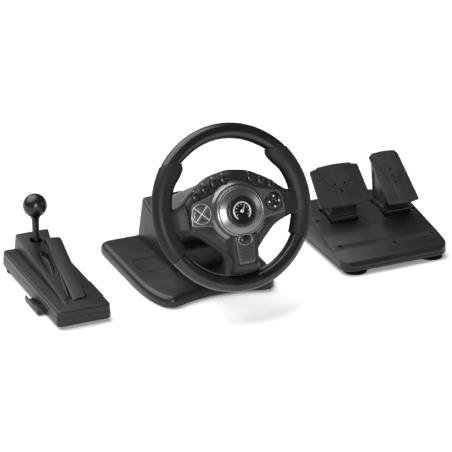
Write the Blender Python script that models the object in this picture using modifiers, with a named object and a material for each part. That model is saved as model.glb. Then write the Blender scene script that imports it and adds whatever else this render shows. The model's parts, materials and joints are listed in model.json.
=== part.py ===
"""Racing wheel kit for a home computer: a steering wheel on its base, a two-pedal unit and a gear shifter.

Blender 4.5, metres, +Z up. Lengths below are in millimetres and are turned into metres by the helpers.
Each unit is drawn in its own frame, with its front left corner on the table at (0, 0, 0), X to the right
and Y away from the driver. The wheel itself is drawn in the rim's frame: x right, y up the wheel's face
and z towards the driver, with the rim's centre at (0, 0, 0).
"""
import math

import bmesh
import bpy
from mathutils import Matrix, Vector

MM = 0.001
GAP = 0.3

# Where the three units stand
KIT_CENTRE = (175.75, 84.14)
PEDALS_AT = (333.0, -5.0)
SHIFTER_AT = (-169.5, 5.0)

# Wheel base
BASE_W = 229.0
BASE_D = 263.0
BASE_FOOT = 3.0
BASE_TOP = 20.0
BASE_WALL = 2.5
BASE_DISH = 18.0
COLUMN_HALF = 45.0
COLUMN_FRONT = 93.0
COLUMN_BACK = 256.0
COLUMN_TOP_BACK = 92.5
COLUMN_SLOPE = 0.25
COVER_Z = 9.0
CUP_R = 20.0
CUP_H = 8.6
CUP_LIP = 2.5

# Steering axis, in the wheel base's frame
RIM_CENTRE = (BASE_W / 2, -37.0, 181.6)
RIM_TILT = math.radians(24.6)
RIM_R = 122.0
TUBE_R = 13.0
GRIP_R = 14.0
GRIP_FROM = -31.5
GRIP_TOP = 82.0
SHAFT_R = 6.0
SHAFT_END = -224.0
REAR_BEARING = -211.0
PINION_AT = -188.0
TEETH = 16
GEAR_STEP = 16.3
NECK_FRONT = -39.0
NECK_HALF = 33.0
NECK_RISE = 48.0
NECK_WALL = 6.0
NECK_TOP_END = (230.0, 85.0)
NECK_LOW_END = (144.0, 41.0)
BOSS_R = 24.0
BOSS_BACK = -36.0

# Hub, in the rim's frame
HUB_BACK = -14.0
HUB_WALL = 2.2
HUB_REACH = 108.5
SPOKE_END = 101.0
DRUM_Y = -8.0
DRUM_R = 41.5
DRUM_FACE = 38.0
BADGE_R = 23.5
WING_BACK = 17.0
WING_FACE = 23.5
BUTTON_FOOT = 11.0
BOARD_Z = 7.0
XPAD = (-62.5, -2.0)
XPAD_R = 15.2
DPAD_R = 14.0
STRIP_BUTTONS = ((65.0, 25.5), (48.5, 35.0), (31.6, 42.0), (14.4, 45.5))
OVAL_Y = -53.0
TRIM_TOP = -46.0
TRIM_BOTTOM = -92.0
PADDLE_Z = -25.5
PADDLE_X = 31.0

# Pedal unit
PEDALS_W = 199.0
PEDALS_D = 217.0
PEDAL_SPLIT = 13.0
PEDAL_FOOT = 6.5
PEDAL_FRONT_H = 25.0
PEDAL_SLOPE = 0.215
PEDAL_FLAT_Y = 140.0
AXLE = (142.0, 33.0)
AXLE_R = 3.0
PEDAL_CUP_R = 20.5
BRAKE_X = 58.0
GAS_X = 155.5
ARM_HALF = 24.5
SPRING_R = 7.0
SPRING_Y = 162.0
SPRING_TOP = 22.0

# Shifter unit
SHIFTER_W = 93.0
SHIFTER_D = 264.0
SHIFTER_SPLIT = 20.0
SHIFTER_FOOT = 5.0
LEVER = (49.5, 229.0)
LEVER_PIVOT_Z = 33.0
KNOB_R = 20.2
KNOB_Z = 117.5
SHIFTER_TOP = 31.0
COVER_WALL = 3.4
DISH_DEPTH = 7.0


# Scene and helpers

def clear_scene():
    for ob in list(bpy.data.objects):
        bpy.data.objects.remove(ob, do_unlink=True)


def collection(name):
    made = bpy.data.collections.new(name)
    bpy.context.scene.collection.children.link(made)
    return made


def material(name, colour, roughness, metallic=0.0):
    made = bpy.data.materials.new(name)
    made.use_nodes = True
    shader = made.node_tree.nodes["Principled BSDF"]
    shader.inputs["Base Color"].default_value = (*colour, 1.0)
    shader.inputs["Roughness"].default_value = roughness
    shader.inputs["Metallic"].default_value = metallic
    made.diffuse_color = (*colour, 1.0)
    return made


def empty(name, place, parent=None, turn=None):
    """An empty at a place in millimetres, turned by a rotation matrix."""
    made = bpy.data.objects.new(name, None)
    made.empty_display_size = 0.02
    made.matrix_basis = Matrix.Translation(Vector(place) * MM) @ (turn or Matrix())
    made.parent = parent
    parts.objects.link(made)
    return made


def add(name, bm, mat, parent, home=None):
    """Turns a bmesh in millimetres into an object; home holds cutters or parts."""
    bmesh.ops.scale(bm, vec=(MM, MM, MM), verts=bm.verts)
    mesh = bpy.data.meshes.new(name)
    bm.to_mesh(mesh)
    bm.free()
    if mat:
        mesh.materials.append(mat)
    mesh.shade_smooth()
    mesh.set_sharp_from_angle(angle=math.radians(35))
    made = bpy.data.objects.new(name, mesh)
    made.parent = parent
    (home or parts).objects.link(made)
    return made


def cutter(name, bm, parent):
    made = add(name, bm, None, parent, cutters)
    made.hide_render = True
    made.display_type = "WIRE"
    return made


def cut(ob, tool, operation="DIFFERENCE"):
    mod = ob.modifiers.new("cut_" + tool.name, "BOOLEAN")
    mod.operation = operation
    mod.solver = "EXACT"
    mod.object = tool


def hollow(ob, wall):
    mod = ob.modifiers.new("wall", "SOLIDIFY")
    mod.thickness = wall * MM
    mod.offset = -1.0
    mod.use_even_offset = True


def bevel(ob, width, segments=1, angle=40):
    mod = ob.modifiers.new("edges", "BEVEL")
    mod.width = width * MM
    mod.segments = segments
    mod.limit_method = "ANGLE"
    mod.angle_limit = math.radians(angle)


def loft(rings, cap_first=True, cap_last=True):
    """Joins rings of equal point counts, each a list of (x, y, z), into one skin."""
    bm = bmesh.new()
    rows = [[bm.verts.new(p) for p in ring] for ring in rings]
    count = len(rows[0])
    for low, high in zip(rows, rows[1:]):
        for i in range(count):
            j = (i + 1) % count
            bm.faces.new((low[i], low[j], high[j], high[i]))
    ends = [bm.faces.new(rows[0][::-1]), bm.faces.new(rows[-1])]
    if bm.calc_volume(signed=True) < 0:
        bmesh.ops.reverse_faces(bm, faces=bm.faces)
    for face, wanted in zip(ends, (cap_first, cap_last)):
        if not wanted:
            bm.faces.remove(face)
    return bm


def box(low, high):
    bm = bmesh.new()
    bmesh.ops.create_cube(bm, size=1.0)
    size = Vector(high) - Vector(low)
    bmesh.ops.scale(bm, vec=size, verts=bm.verts)
    bmesh.ops.translate(bm, vec=(Vector(high) + Vector(low)) / 2, verts=bm.verts)
    return bm


def rod(radius, low, high, sides=24, axis="Z", at=(0.0, 0.0)):
    """A cylinder along an axis, at the two other coordinates given in X, Y, Z order."""
    bm = bmesh.new()
    bmesh.ops.create_cone(bm, cap_ends=True, segments=sides, radius1=radius, radius2=radius, depth=high - low)
    turn = {"X": Matrix.Rotation(math.pi / 2, 4, "Y"),
            "Y": Matrix.Rotation(-math.pi / 2, 4, "X"),
            "Z": Matrix()}
    place = list(at)
    place.insert("XYZ".index(axis), (low + high) / 2)
    bmesh.ops.transform(bm, matrix=Matrix.Translation(place) @ turn[axis], verts=bm.verts)
    return bm


def turned(name, profile, mat, parent, steps=32, at=(0.0, 0.0), closed=False):
    """A profile of (radius, z) turned about Z with a Screw; from the outer side, top to bottom."""
    bm = bmesh.new()
    verts = [bm.verts.new((r * MM, 0.0, z * MM)) for r, z in profile]
    pairs = list(zip(verts, verts[1:]))
    if closed:
        pairs.append((verts[-1], verts[0]))
    for a, b in pairs:
        bm.edges.new((a, b))
    mesh = bpy.data.meshes.new(name)
    bm.to_mesh(mesh)
    bm.free()
    if mat:
        mesh.materials.append(mat)
    made = bpy.data.objects.new(name, mesh)
    made.parent = parent
    made.location = (at[0] * MM, at[1] * MM, 0.0)
    home = parts if mat else cutters
    home.objects.link(made)
    mod = made.modifiers.new("turn", "SCREW")
    mod.steps = steps
    mod.render_steps = steps
    mod.use_merge_vertices = True
    mod.merge_threshold = 0.00001
    mod.use_smooth_shade = True
    if not mat:
        made.hide_render = True
        made.display_type = "WIRE"
    return made


def inset(outline, by):
    """An outline of (x, y), counter-clockwise, moved inwards by a distance."""
    moved = []
    count = len(outline)
    for i in range(count):
        before = Vector(outline[i]) - Vector(outline[i - 1])
        after = Vector(outline[(i + 1) % count]) - Vector(outline[i])
        n1 = Vector((-before.y, before.x)).normalized()
        n2 = Vector((-after.y, after.x)).normalized()
        mid = (n1 + n2).normalized()
        reach = by / max(mid.dot(n1), 0.5)
        moved.append((outline[i][0] + mid.x * reach, outline[i][1] + mid.y * reach))
    return moved


def level(outline, z):
    """An outline lifted to a height, which is a number or a function of (x, y)."""
    return [(x, y, z(x, y) if callable(z) else z) for x, y in outline]


def arc(cx, cy, rx, ry, start, end, count):
    angles = [math.radians(start + (end - start) * i / (count - 1)) for i in range(count)]
    return [(cx + rx * math.cos(a), cy + ry * math.sin(a)) for a in angles]


def oval(cx, cy, rx, ry, count=20, turn=0.0):
    points = []
    c = math.cos(turn)
    s = math.sin(turn)
    for i in range(count):
        a = 2 * math.pi * i / count
        x = rx * math.cos(a)
        y = ry * math.sin(a)
        points.append((cx + x * c - y * s, cy + x * s + y * c))
    return points


def rounded(x0, y0, x1, y1, radius, count=4):
    """A rectangle with round corners, counter-clockwise."""
    r = radius
    points = arc(x1 - r, y0 + r, r, r, -90, 0, count)
    points += arc(x1 - r, y1 - r, r, r, 0, 90, count)
    points += arc(x0 + r, y1 - r, r, r, 90, 180, count)
    points += arc(x0 + r, y0 + r, r, r, 180, 270, count)
    return points


def curve_through(points, per_span):
    """A Catmull-Rom curve through (x, y) points, with its ends kept."""
    line = [points[0]] + list(points) + [points[-1]]
    out = []
    for i in range(1, len(line) - 2):
        p0, p1, p2, p3 = [Vector(p) for p in line[i - 1:i + 3]]
        for k in range(per_span):
            t = k / per_span
            spot = 0.5 * (2 * p1 + (p2 - p0) * t + (2 * p0 - 5 * p1 + 4 * p2 - p3) * t * t
                          + (3 * p1 - p0 - 3 * p2 + p3) * t ** 3)
            out.append((spot.x, spot.y))
    out.append(tuple(points[-1]))
    return out


def mirrored(half):
    """Closes the right half of an outline, from its top middle to its bottom middle, by its mirror."""
    left = [(-x, y) for x, y in reversed(half) if x > 0.01]
    return (half + left)[::-1]


# Wheel base

def base_outline():
    half = BASE_W / 2
    front = [(half - x, BASE_DISH * (1 - (x / (half - 30)) ** 2)) for x in range(0, int(half) - 32, 12)]
    corner = curve_through([(33, 0.5), (24, 3.5), (12, 21), (3, 56), (0, 92)], 3)
    back = arc(15, BASE_D - 15, 15, 15, 180, 90, 4)
    left = front + corner + back
    right = [(BASE_W - x, y) for x, y in reversed(left) if x < half - 0.01]
    return (left + right)[::-1]


def column_top(x, y):
    return COLUMN_TOP_BACK - COLUMN_SLOPE * (COLUMN_BACK - 7 - y)


def make_base(unit):
    outline = base_outline()
    rings = [level(outline, BASE_FOOT), level(inset(outline, 0.6), 13.0), level(inset(outline, 7.0), 18.8)]
    rings.append(level(inset(outline, 10.0), BASE_TOP))
    plate = add("base_plate", loft(rings, cap_first=False), black, unit)
    hollow(plate, BASE_WALL)
    mid = BASE_W / 2
    hole = box((mid - 34, COLUMN_FRONT + 12, 10), (mid + 34, COLUMN_BACK - 14, 30))
    window = cutter("base_window", hole, unit)
    cut(plate, window)

    foot = rounded(mid - COLUMN_HALF, COLUMN_FRONT, mid + COLUMN_HALF, COLUMN_BACK, 8)
    head = rounded(mid - COLUMN_HALF + 5, COLUMN_FRONT + 4, mid + COLUMN_HALF - 5, COLUMN_BACK - 7, 8)
    rings = [level(foot, BASE_TOP + GAP), level(foot, BASE_TOP + 4)]
    rings.append(level(inset(head, -0.3), lambda x, y: column_top(x, y) - 3))
    rings.append(level(inset(head, 2.5), column_top))
    column = add("column_housing", loft(rings, cap_first=False), black, unit)
    hollow(column, BASE_WALL)
    cut(column, neck_solid("neck_room", unit, GAP, None))
    cut(column, cutter("column_cable_inlet", rod(4.2, 240, 270, 20, "Y", (100.0, 34.0)), unit))

    neck = neck_solid("steering_neck", unit, 0.0, black)
    cut(neck, neck_solid("neck_inside", unit, -BASE_WALL, None))
    cut(neck, cutter("front_bearing_seat", rod(13.3, -60, -30, 32), steering_rest))

    sheet = inset(outline, 4.0)
    cover = add("base_bottom_cover", loft([level(sheet, COVER_Z), level(sheet, COVER_Z + 2.5)]), dark, unit)
    post = cutter("bearing_post", box((mid - 25, 150, COVER_Z + 1), (mid + 25, 160, 110)), unit)
    cut(cover, post, "UNION")
    cut(cover, cutter("bearing_seat", rod(11.3, -240, -190, 32), steering_rest))
    places = ((40, 62), (BASE_W - 40, 62), (30, BASE_D - 32), (BASE_W - 30, BASE_D - 32))
    for i, (x, y) in enumerate(places):
        make_cup("base_suction_cup_%d" % (i + 1), unit, x, y, CUP_H, CUP_R)


def make_cup(name, unit, x, y, height, radius):
    """A suction cup: a thin flared bell with a solid crown."""
    profile = [(0.0, height), (5, height), (7, height - 1.5), (radius * 0.6, 2.6), (radius, 1.0),
               (radius, 0.0)]
    profile += [(radius - CUP_LIP, 0.0), (radius * 0.58, 1.2), (0.0, max(height - 4.5, 1.8))]
    turned(name, profile, rubber, unit, steps=20, at=(x, y))


def neck_solid(name, unit, grow, mat):
    """The sloping housing between the column and the wheel, square to the shaft at its front."""
    mid = BASE_W / 2
    back = Vector((math.cos(RIM_TILT), -math.sin(RIM_TILT)))
    up = Vector((math.sin(RIM_TILT), math.cos(RIM_TILT)))
    face = NECK_WALL if grow < 0 else 0.0
    centre = Vector(RIM_CENTRE[1:]) + back * (face - NECK_FRONT)
    top_line = (centre + up * (NECK_RISE + grow), Vector(NECK_TOP_END) + up * grow)
    low_line = (centre - up * (NECK_HALF + grow), Vector(NECK_LOW_END) - up * grow)
    reach = 1.1 if grow < 0 else 1.0
    rings = []
    for k in range(4):
        t = k / 3 * reach
        top = top_line[0].lerp(top_line[1], t)
        low = low_line[0].lerp(low_line[1], t)
        half = NECK_HALF + 2.0 * t + grow
        ring = []
        for x, v in rounded(-half, -half, half, half, 12.0 + min(grow, 0), 3):
            spot = low.lerp(top, (v + half) / (2 * half))
            ring.append((mid + x, spot.x, spot.y))
        rings.append(ring)
    if mat:
        return add(name, loft(rings), mat, unit)
    return cutter(name, loft(rings), unit)


# Steering: shaft, gears and bearings

def gear(radius, teeth, low, high, at=(0.0, 0.0), phase=0.0):
    """A gear blank of module 1 with plain straight-sided teeth and some backlash."""
    pitch = 360.0 / teeth
    outline = []
    for k in range(teeth):
        for r, a in ((radius - 1.15, -5.2), (radius + 0.8, -1.9), (radius + 0.8, 1.9), (radius - 1.15, 5.2)):
            turn = math.radians(k * pitch + phase + a)
            outline.append((at[0] + r * math.cos(turn), at[1] + r * math.sin(turn)))
    return loft([level(outline, low), level(outline, high)])


def make_steering_gear(axis, rest):
    shaft = turned("steering_shaft", [(0, 5), (11.5, 5), (11.5, -34), (SHAFT_R, -36), (SHAFT_R, SHAFT_END),
                                      (0, SHAFT_END)], steel, axis, steps=24)
    cut(shaft, cutter("pinion_blank", gear(TEETH / 2, TEETH, PINION_AT - 3, PINION_AT + 3), axis), "UNION")
    turned("front_bearing", [(13.0, -39.4), (13.0, -46.0), (6.3, -46.0), (6.3, -39.4)], steel, rest,
           steps=28, closed=True)
    turned("rear_bearing", [(11.0, -205.5), (11.0, -216.5), (6.3, -216.5), (6.3, -205.5)], steel, rest,
           steps=28, closed=True)
    add("sensor_gear", gear(TEETH / 2, TEETH, PINION_AT - 3, PINION_AT + 3, phase=180.0 / TEETH),
        white, empty("sensor_axis", (GEAR_STEP, 0, 0), rest))
    add("angle_sensor", rod(9.0, -200.0, PINION_AT - 4.5, 20, at=(GEAR_STEP, 0.0)), dark, rest)


# Steering wheel

def bump(a, centre, width):
    return math.exp(-((a - centre) / width) ** 2)


def ease(x):
    x = min(max(x, 0.0), 1.0)
    return x * x * (3 - 2 * x)


def grip_inside(a):
    """How far the grip reaches in from the rim's centre line: a thumb swell, and a tongue at the spoke."""
    seam = math.degrees(math.asin(GRIP_TOP / RIM_R))
    tongue = RIM_R - (SPOKE_END + 0.5) / math.cos(math.radians(a))
    share = ease((a + 24) / 9) * ease((15 - a) / 9)
    palm = (2.5 + 3.0 * ease((a - GRIP_FROM) / 10)) * ease((seam - a) / 5)
    plain = GRIP_R + palm + 3.0 * bump(a, 34.0, 5.0)
    return plain + (tongue - plain) * share


def rim_ring(a, skew, outer, inner, side, count):
    """A section of the rim at an angle in degrees; skew 1 lays it level, as the grips' upper seams are."""
    level_at = 0.0 if a < 90 else 180.0
    heading = math.radians(a + (level_at - a) * skew)
    stretch = 1.0 / math.cos(heading - math.radians(a))
    ring = []
    for i in range(count):
        phi = 2 * math.pi * i / count
        reach = math.cos(phi) * (outer if math.cos(phi) > 0 else inner) * stretch
        x = RIM_R * math.cos(math.radians(a)) + reach * math.cos(heading)
        y = RIM_R * math.sin(math.radians(a)) + reach * math.sin(heading)
        ring.append((x, y, side * math.sin(phi)))
    return ring


def make_rim(axis):
    seam = math.degrees(math.asin(GRIP_TOP / RIM_R))
    slit = math.degrees(GAP / RIM_R)
    steps = 16
    rings = []
    for i in range(steps + 1):
        a = seam + slit + (180 - 2 * seam - 2 * slit) * i / steps
        skew = 1 - ease(min(i, steps - i) / 3)
        rings.append(rim_ring(a, skew, TUBE_R, TUBE_R, TUBE_R, 12))
    add("rim_upper", loft(rings), gloss, axis)
    rings = []
    for i in range(steps + 1):
        a = 180 - GRIP_FROM + slit + (180 + 2 * GRIP_FROM - 2 * slit) * i / steps
        rings.append(rim_ring(a, 0.0, TUBE_R, TUBE_R, TUBE_R, 12))
    add("rim_lower", loft(rings), gloss, axis)
    for side, name in ((1, "right_grip"), (-1, "left_grip")):
        rings = []
        for i in range(steps + 1):
            a = GRIP_FROM + (seam - GRIP_FROM) * i / steps
            skew = 1 - ease((steps - i) / 3)
            ring = rim_ring(a, skew, GRIP_R, grip_inside(a), GRIP_R, 12)
            rings.append([(side * x, y, z) for x, y, z in ring])
        add(name, loft(rings), rubber, axis)


def hub_outline():
    """The three-spoke hub, from its top middle round the right side to its bottom middle, then mirrored."""
    top = curve_through([(0, 60), (30, 54.5), (50, 45), (68, 34), (84, 20.5), (SPOKE_END, 11.5)], 2)
    side = curve_through([(SPOKE_END, -27), (82, -31), (64, -38.5), (48, -52), (34, -66), (25, -78),
                          (23.5, -90), (26.2, -105.3)], 2)
    bottom = arc(0, 0, HUB_REACH, HUB_REACH, -80, -90, 3)
    return mirrored(top + side + bottom)


def scaled(outline, s):
    return [(x * s, DRUM_Y + (y - DRUM_Y) * s) for x, y in outline]


def hub_back(y):
    """The depth of the hub's back, which rises towards the end of the lower spoke."""
    return HUB_BACK + 5.0 * ease((-48.0 - y) / 25.0)


def make_hub(axis):
    outline = hub_outline()
    rings = [level(outline, -GAP / 2), level(outline, lambda x, y: hub_back(y) + 5.0),
             level(scaled(outline, 0.95), lambda x, y: hub_back(y))]
    rear = add("hub_rear_shell", loft(rings, cap_first=False), black, axis)
    hollow(rear, HUB_WALL)
    boss = turned("boss", [(BOSS_R, -12.5), (BOSS_R, BOSS_BACK), (14, BOSS_BACK), (14, -12.5)], None, axis,
                  steps=28, closed=True)
    cut(rear, boss, "UNION")
    for side in (-1, 1):
        for low, high in ((-16.0, -10.3), (22.3, 28.0)):
            x = side * PADDLE_X
            post = box((x - 3.5, low, PADDLE_Z - 3), (x + 3.5, high, HUB_BACK + 1))
            cut(rear, cutter("paddle_post", post, axis), "UNION")
    cut(rear, cutter("shaft_room", rod(12.0, BOSS_BACK - 3, 0, 28), axis))

    heights = ((1.0, GAP / 2), (1.0, 9.0), (0.975, 13.0), (0.92, 16.5), (0.8, 19.0), (0.55, 20.5))
    rings = [level(scaled(outline, s), z) for s, z in heights]
    front = add("hub_front_shell", loft(rings, cap_first=False), black, axis)
    hollow(front, HUB_WALL)

    top_edge = curve_through([(0, 33), (30, 26.5), (55, 20.0), (75.5, 14.5)], 2)
    wing = mirrored(top_edge + [(80, -3), (79, -20), (60, -22.5), (44, -25.5), (20, -34), (0, -36)])
    panel = add("wing_panel", loft([level(wing, WING_BACK), level(wing, WING_FACE - 0.8),
                                    level(inset(wing, 0.8), WING_FACE)]), silver, axis)
    cut(front, cutter("wing_room", loft([level(inset(wing, -GAP), 10), level(inset(wing, -GAP), 40)]), axis))

    trim = [(-17.5, TRIM_TOP), (-14, TRIM_BOTTOM), (14, TRIM_BOTTOM), (17.5, TRIM_TOP)]
    spoke = add("bottom_spoke_trim", loft([level(trim, WING_BACK), level(trim, trim_face)]), silver, axis)
    bevel(spoke, 1.2)
    room = loft([level(inset(trim, -GAP), 5), level(inset(trim, -GAP), 60)])
    trim_room = cutter("trim_room", room, axis)
    cut(front, trim_room)

    drum = turned("hub_drum",
                  [(DRUM_R, 33), (39.5, 36), (34.5, DRUM_FACE), (24, DRUM_FACE), (24, 35), (21, 35),
                   (21, 31.5), (38.5, 30), (38.5, WING_FACE + GAP), (DRUM_R, WING_FACE + GAP)],
                  silver, axis, steps=40, at=(0, DRUM_Y), closed=True)
    cut(drum, trim_room)
    turned("hub_badge",
           [(0, 40.4), (12, 40.0), (20, 39.2), (BADGE_R, 37.8), (BADGE_R, 35.3), (0, 35.3)], black,
           axis, steps=32, at=(0, DRUM_Y))
    board = inset(outline, 5.0)
    add("hub_circuit_board", loft([level(board, BOARD_Z), level(board, BOARD_Z + 1.6)]), green, axis)
    return front, panel, spoke


def trim_face(x, y):
    return 34.5 - 7.5 * (TRIM_TOP - y) / (TRIM_TOP - TRIM_BOTTOM)


def make_button(name, outline, top, axis, covers, at, room=0.35):
    """A button that slides in through holes in the given covers; its own frame is at its middle."""
    spot = empty(name + "_axis", (*at, 0), axis)
    rings = [level(outline, BUTTON_FOOT), level(outline, top - 1.0), level(inset(outline, 1.0), top - 0.2)]
    rings.append(level(inset(outline, 2.4), top))
    made = add(name, loft(rings), gloss, spot)
    hole = inset(outline, -room)
    tool = cutter(name + "_hole", loft([level(hole, BUTTON_FOOT - 4), level(hole, 60)]), spot)
    for cover in covers:
        cut(cover, tool)
    return made


def make_buttons(axis, front, panel, spoke):
    for side, word in ((-1, "left"), (1, "right")):
        for i, (x, y) in enumerate(STRIP_BUTTONS):
            if side == 1 and i == 3:
                continue
            shape = oval(0, 0, 5.3, 6.4, 16, turn=-side * math.radians(28 - 7 * i))
            make_button("%s_button_%d" % (word, i + 1), shape, 20.5 + i * 0.8, axis, [front], (side * x, y))
    for k, word in enumerate(("right", "top", "left", "bottom")):
        wedge = [(2.4, 0)] + arc(0, 0, XPAD_R - 0.6, XPAD_R - 0.6, -36, 36, 7)
        c, s = math.cos(k * math.pi / 2), math.sin(k * math.pi / 2)
        shape = [(x * c - y * s, x * s + y * c) for x, y in wedge]
        make_button("action_button_" + word, shape, 26.0, axis, [panel], XPAD)
    pad = oval(0, 0, DPAD_R, DPAD_R, 24)
    make_button("direction_pad", pad, 26.5, axis, [panel], (-XPAD[0], XPAD[1]), 0.8)
    make_button("start_button", oval(0, 0, 9.4, 6.0, 20), 37.0, axis, [spoke], (0, OVAL_Y))


def make_paddles(axis):
    blade = [(0, -10), (5, -10), (9, -13), (30, -16), (45, -15), (50, -8), (49, 8), (42, 20), (24, 31),
             (12, 30), (5, 20), (0, 20)]
    for side, word in ((-1, "left"), (1, "right")):
        hinge = empty(word + "_paddle_axis", (side * PADDLE_X, 0, PADDLE_Z), axis)
        outline = [(side * x, y) for x, y in blade]
        if side < 0:
            outline.reverse()
        paddle = add(word + "_paddle", loft([level(outline, -1.5), level(outline, 1.5)]), dark, hinge)
        cut(paddle, cutter(word + "_paddle_barrel", rod(3.0, -10.0, 22.0, 12, "Y"), hinge), "UNION")


# Pedal unit

def pedal_top(x, y):
    return PEDAL_FRONT_H + PEDAL_SLOPE * (min(max(y, 18.0), PEDAL_FLAT_Y) - 18.0)


def make_pedals(unit):
    wide = rounded(0, 0, PEDALS_W, PEDALS_D, 22, 5)
    tub = loft([level(wide, PEDAL_SPLIT - GAP), level(wide, 10.0), level(inset(wide, 1.5), PEDAL_FOOT + 1),
                level(inset(wide, 4), PEDAL_FOOT)], cap_first=False)
    bottom = add("pedal_bottom_shell", tub, black, unit)
    hollow(bottom, 2.5)
    flat = pedal_top(0, PEDAL_FLAT_Y)
    profile = [(0, PEDAL_SPLIT), (0, 17), (8, 23.5), (20, PEDAL_FRONT_H), (PEDAL_FLAT_Y, flat),
               (PEDALS_D - 6, flat), (PEDALS_D, 44), (PEDALS_D, PEDAL_SPLIT)]
    slab = loft([[(x, y, z) for y, z in profile] for x in (0, PEDALS_W)])
    top = add("pedal_top_shell", slab, black, unit)
    keep = cutter("pedal_plan", loft([level(inset(wide, 0.4), 5), level(inset(wide, 0.4), 30),
                                      level(inset(wide, 8), 60)]), unit)
    cut(top, keep, "INTERSECT")
    inner = [(2.9, 4), (2.9, 16), (10, 21), (20, PEDAL_FRONT_H - 2.8), (PEDAL_FLAT_Y, flat - 2.8),
             (PEDALS_D - 8, flat - 2.8), (PEDALS_D - 2.9, 42), (PEDALS_D - 2.9, 4)]
    room = cutter("pedal_room", loft([[(x, y, z) for y, z in inner] for x in (5, PEDALS_W - 5)]), unit)
    plan = loft([level(inset(wide, 2.9), 0), level(inset(wide, 2.9), 30), level(inset(wide, 11), 60)])
    cut(room, cutter("pedal_room_plan", plan, unit), "INTERSECT")
    cut(top, room)
    cut(top, cutter("pedal_cable_inlet", rod(3.6, 205, 222, 20, "Y", (100.0, 24.0)), unit))

    brake = [(120, 28), (152, 24), (172, 28), (172, 32), (156, 44), (162, 112), (157, 116.8), (118, 82.3),
             (121, 60)]
    gas = [(113, 30), (152, 24), (172, 28), (172, 32), (156, 44), (168, 118), (164, 123.3), (104, 82.4),
           (110, 60)]
    for name, x, half, arm, pad in (("brake", BRAKE_X, 48.0, brake, ((112, 78), (165.2, 125.1))),
                                    ("gas", GAS_X, 29.0, gas, ((89.4, 73.5), (172.1, 129.8)))):
        hinge = empty(name + "_axis", (x, *AXLE), unit)
        side = [(y - AXLE[0], z - AXLE[1]) for y, z in arm]
        ends = (-ARM_HALF, ARM_HALF)
        made = add(name + "_arm", loft([[(e, y, z) for y, z in side] for e in ends]), black, hinge)
        cut(made, cutter(name + "_bore", rod(AXLE_R + 0.15, -60, 60, 20, "X"), hinge))
        make_pad(name + "_pad", half, pad, hinge)
        slot = box((-ARM_HALF - 1.5, arm[0][0] - AXLE[0] - 6, -6), (ARM_HALF + 1.5, 26, 60))
        cut(top, cutter(name + "_slot", slot, hinge))
        make_spring(name + "_spring", unit, x)
    add("pedal_axle", rod(AXLE_R, 5.5, PEDALS_W - 5.5, 16, "X", AXLE), steel, unit)
    for i, x in enumerate((31.0, PEDALS_W - 26.0)):
        make_cup("pedal_suction_cup_%d" % (i + 1), unit, x, 22, PEDAL_FOOT - 0.3, PEDAL_CUP_R)
    strip = rounded(25, PEDALS_D - 32, PEDALS_W - 25, PEDALS_D - 14, 5, 3)
    add("pedal_rear_foot", loft([level(strip, 0), level(strip, PEDAL_FOOT - 0.3)]), rubber, unit)


def make_pad(name, half, ends, hinge):
    """A pad whose upper and lower edges are bowed, lying on the arm's sloping face."""
    low = Vector((ends[0][0] - AXLE[0], ends[0][1] - AXLE[1]))
    high = Vector((ends[1][0] - AXLE[0], ends[1][1] - AXLE[1]))
    along = (high - low).normalized()
    out = Vector((-along.y, along.x))
    length = (high - low).length
    outline = [(x, -3.0 * (1 - (x / half) ** 2)) for x in (-half, -half * 0.5, 0, half * 0.5, half)]
    across = (half * 0.94, half * 0.5, 0, -half * 0.5, -half * 0.94)
    outline += [(x, length + 4.0 * (1 - (x / half) ** 2)) for x in across]
    rings = []
    for lift in (0.4, 4.0):
        foot = low + out * lift
        rings.append([(x, foot.x + along.x * v, foot.y + along.y * v) for x, v in outline])
    made = add(name, loft(rings), dark, hinge)
    bevel(made, 0.8)
    return made


def make_spring(name, unit, x):
    """A return spring that stands between the bottom shell and the arm's tail."""
    curve = bpy.data.curves.new(name, "CURVE")
    curve.dimensions = "3D"
    curve.bevel_depth = 0.8 * MM
    curve.bevel_resolution = 1
    curve.use_fill_caps = True
    turns = 4
    per_turn = 10
    low = PEDAL_FOOT + 3.9
    high = SPRING_TOP
    line = curve.splines.new("POLY")
    line.points.add(turns * per_turn)
    for i, point in enumerate(line.points):
        a = 2 * math.pi * i / per_turn
        z = low + (high - low) * i / (turns * per_turn)
        point.co = (SPRING_R * math.cos(a) * MM, SPRING_R * math.sin(a) * MM, z * MM, 1)
    curve.materials.append(steel)
    made = bpy.data.objects.new(name, curve)
    made.parent = unit
    made.location = (x * MM, SPRING_Y * MM, 0.0)
    parts.objects.link(made)


# Shifter unit

def wedge_top(x, y):
    return SHIFTER_TOP + 0.115 * (y - 24)


def rail_top(x, y):
    return SHIFTER_TOP + 2.5 + 0.142 * (y - 31)


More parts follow.
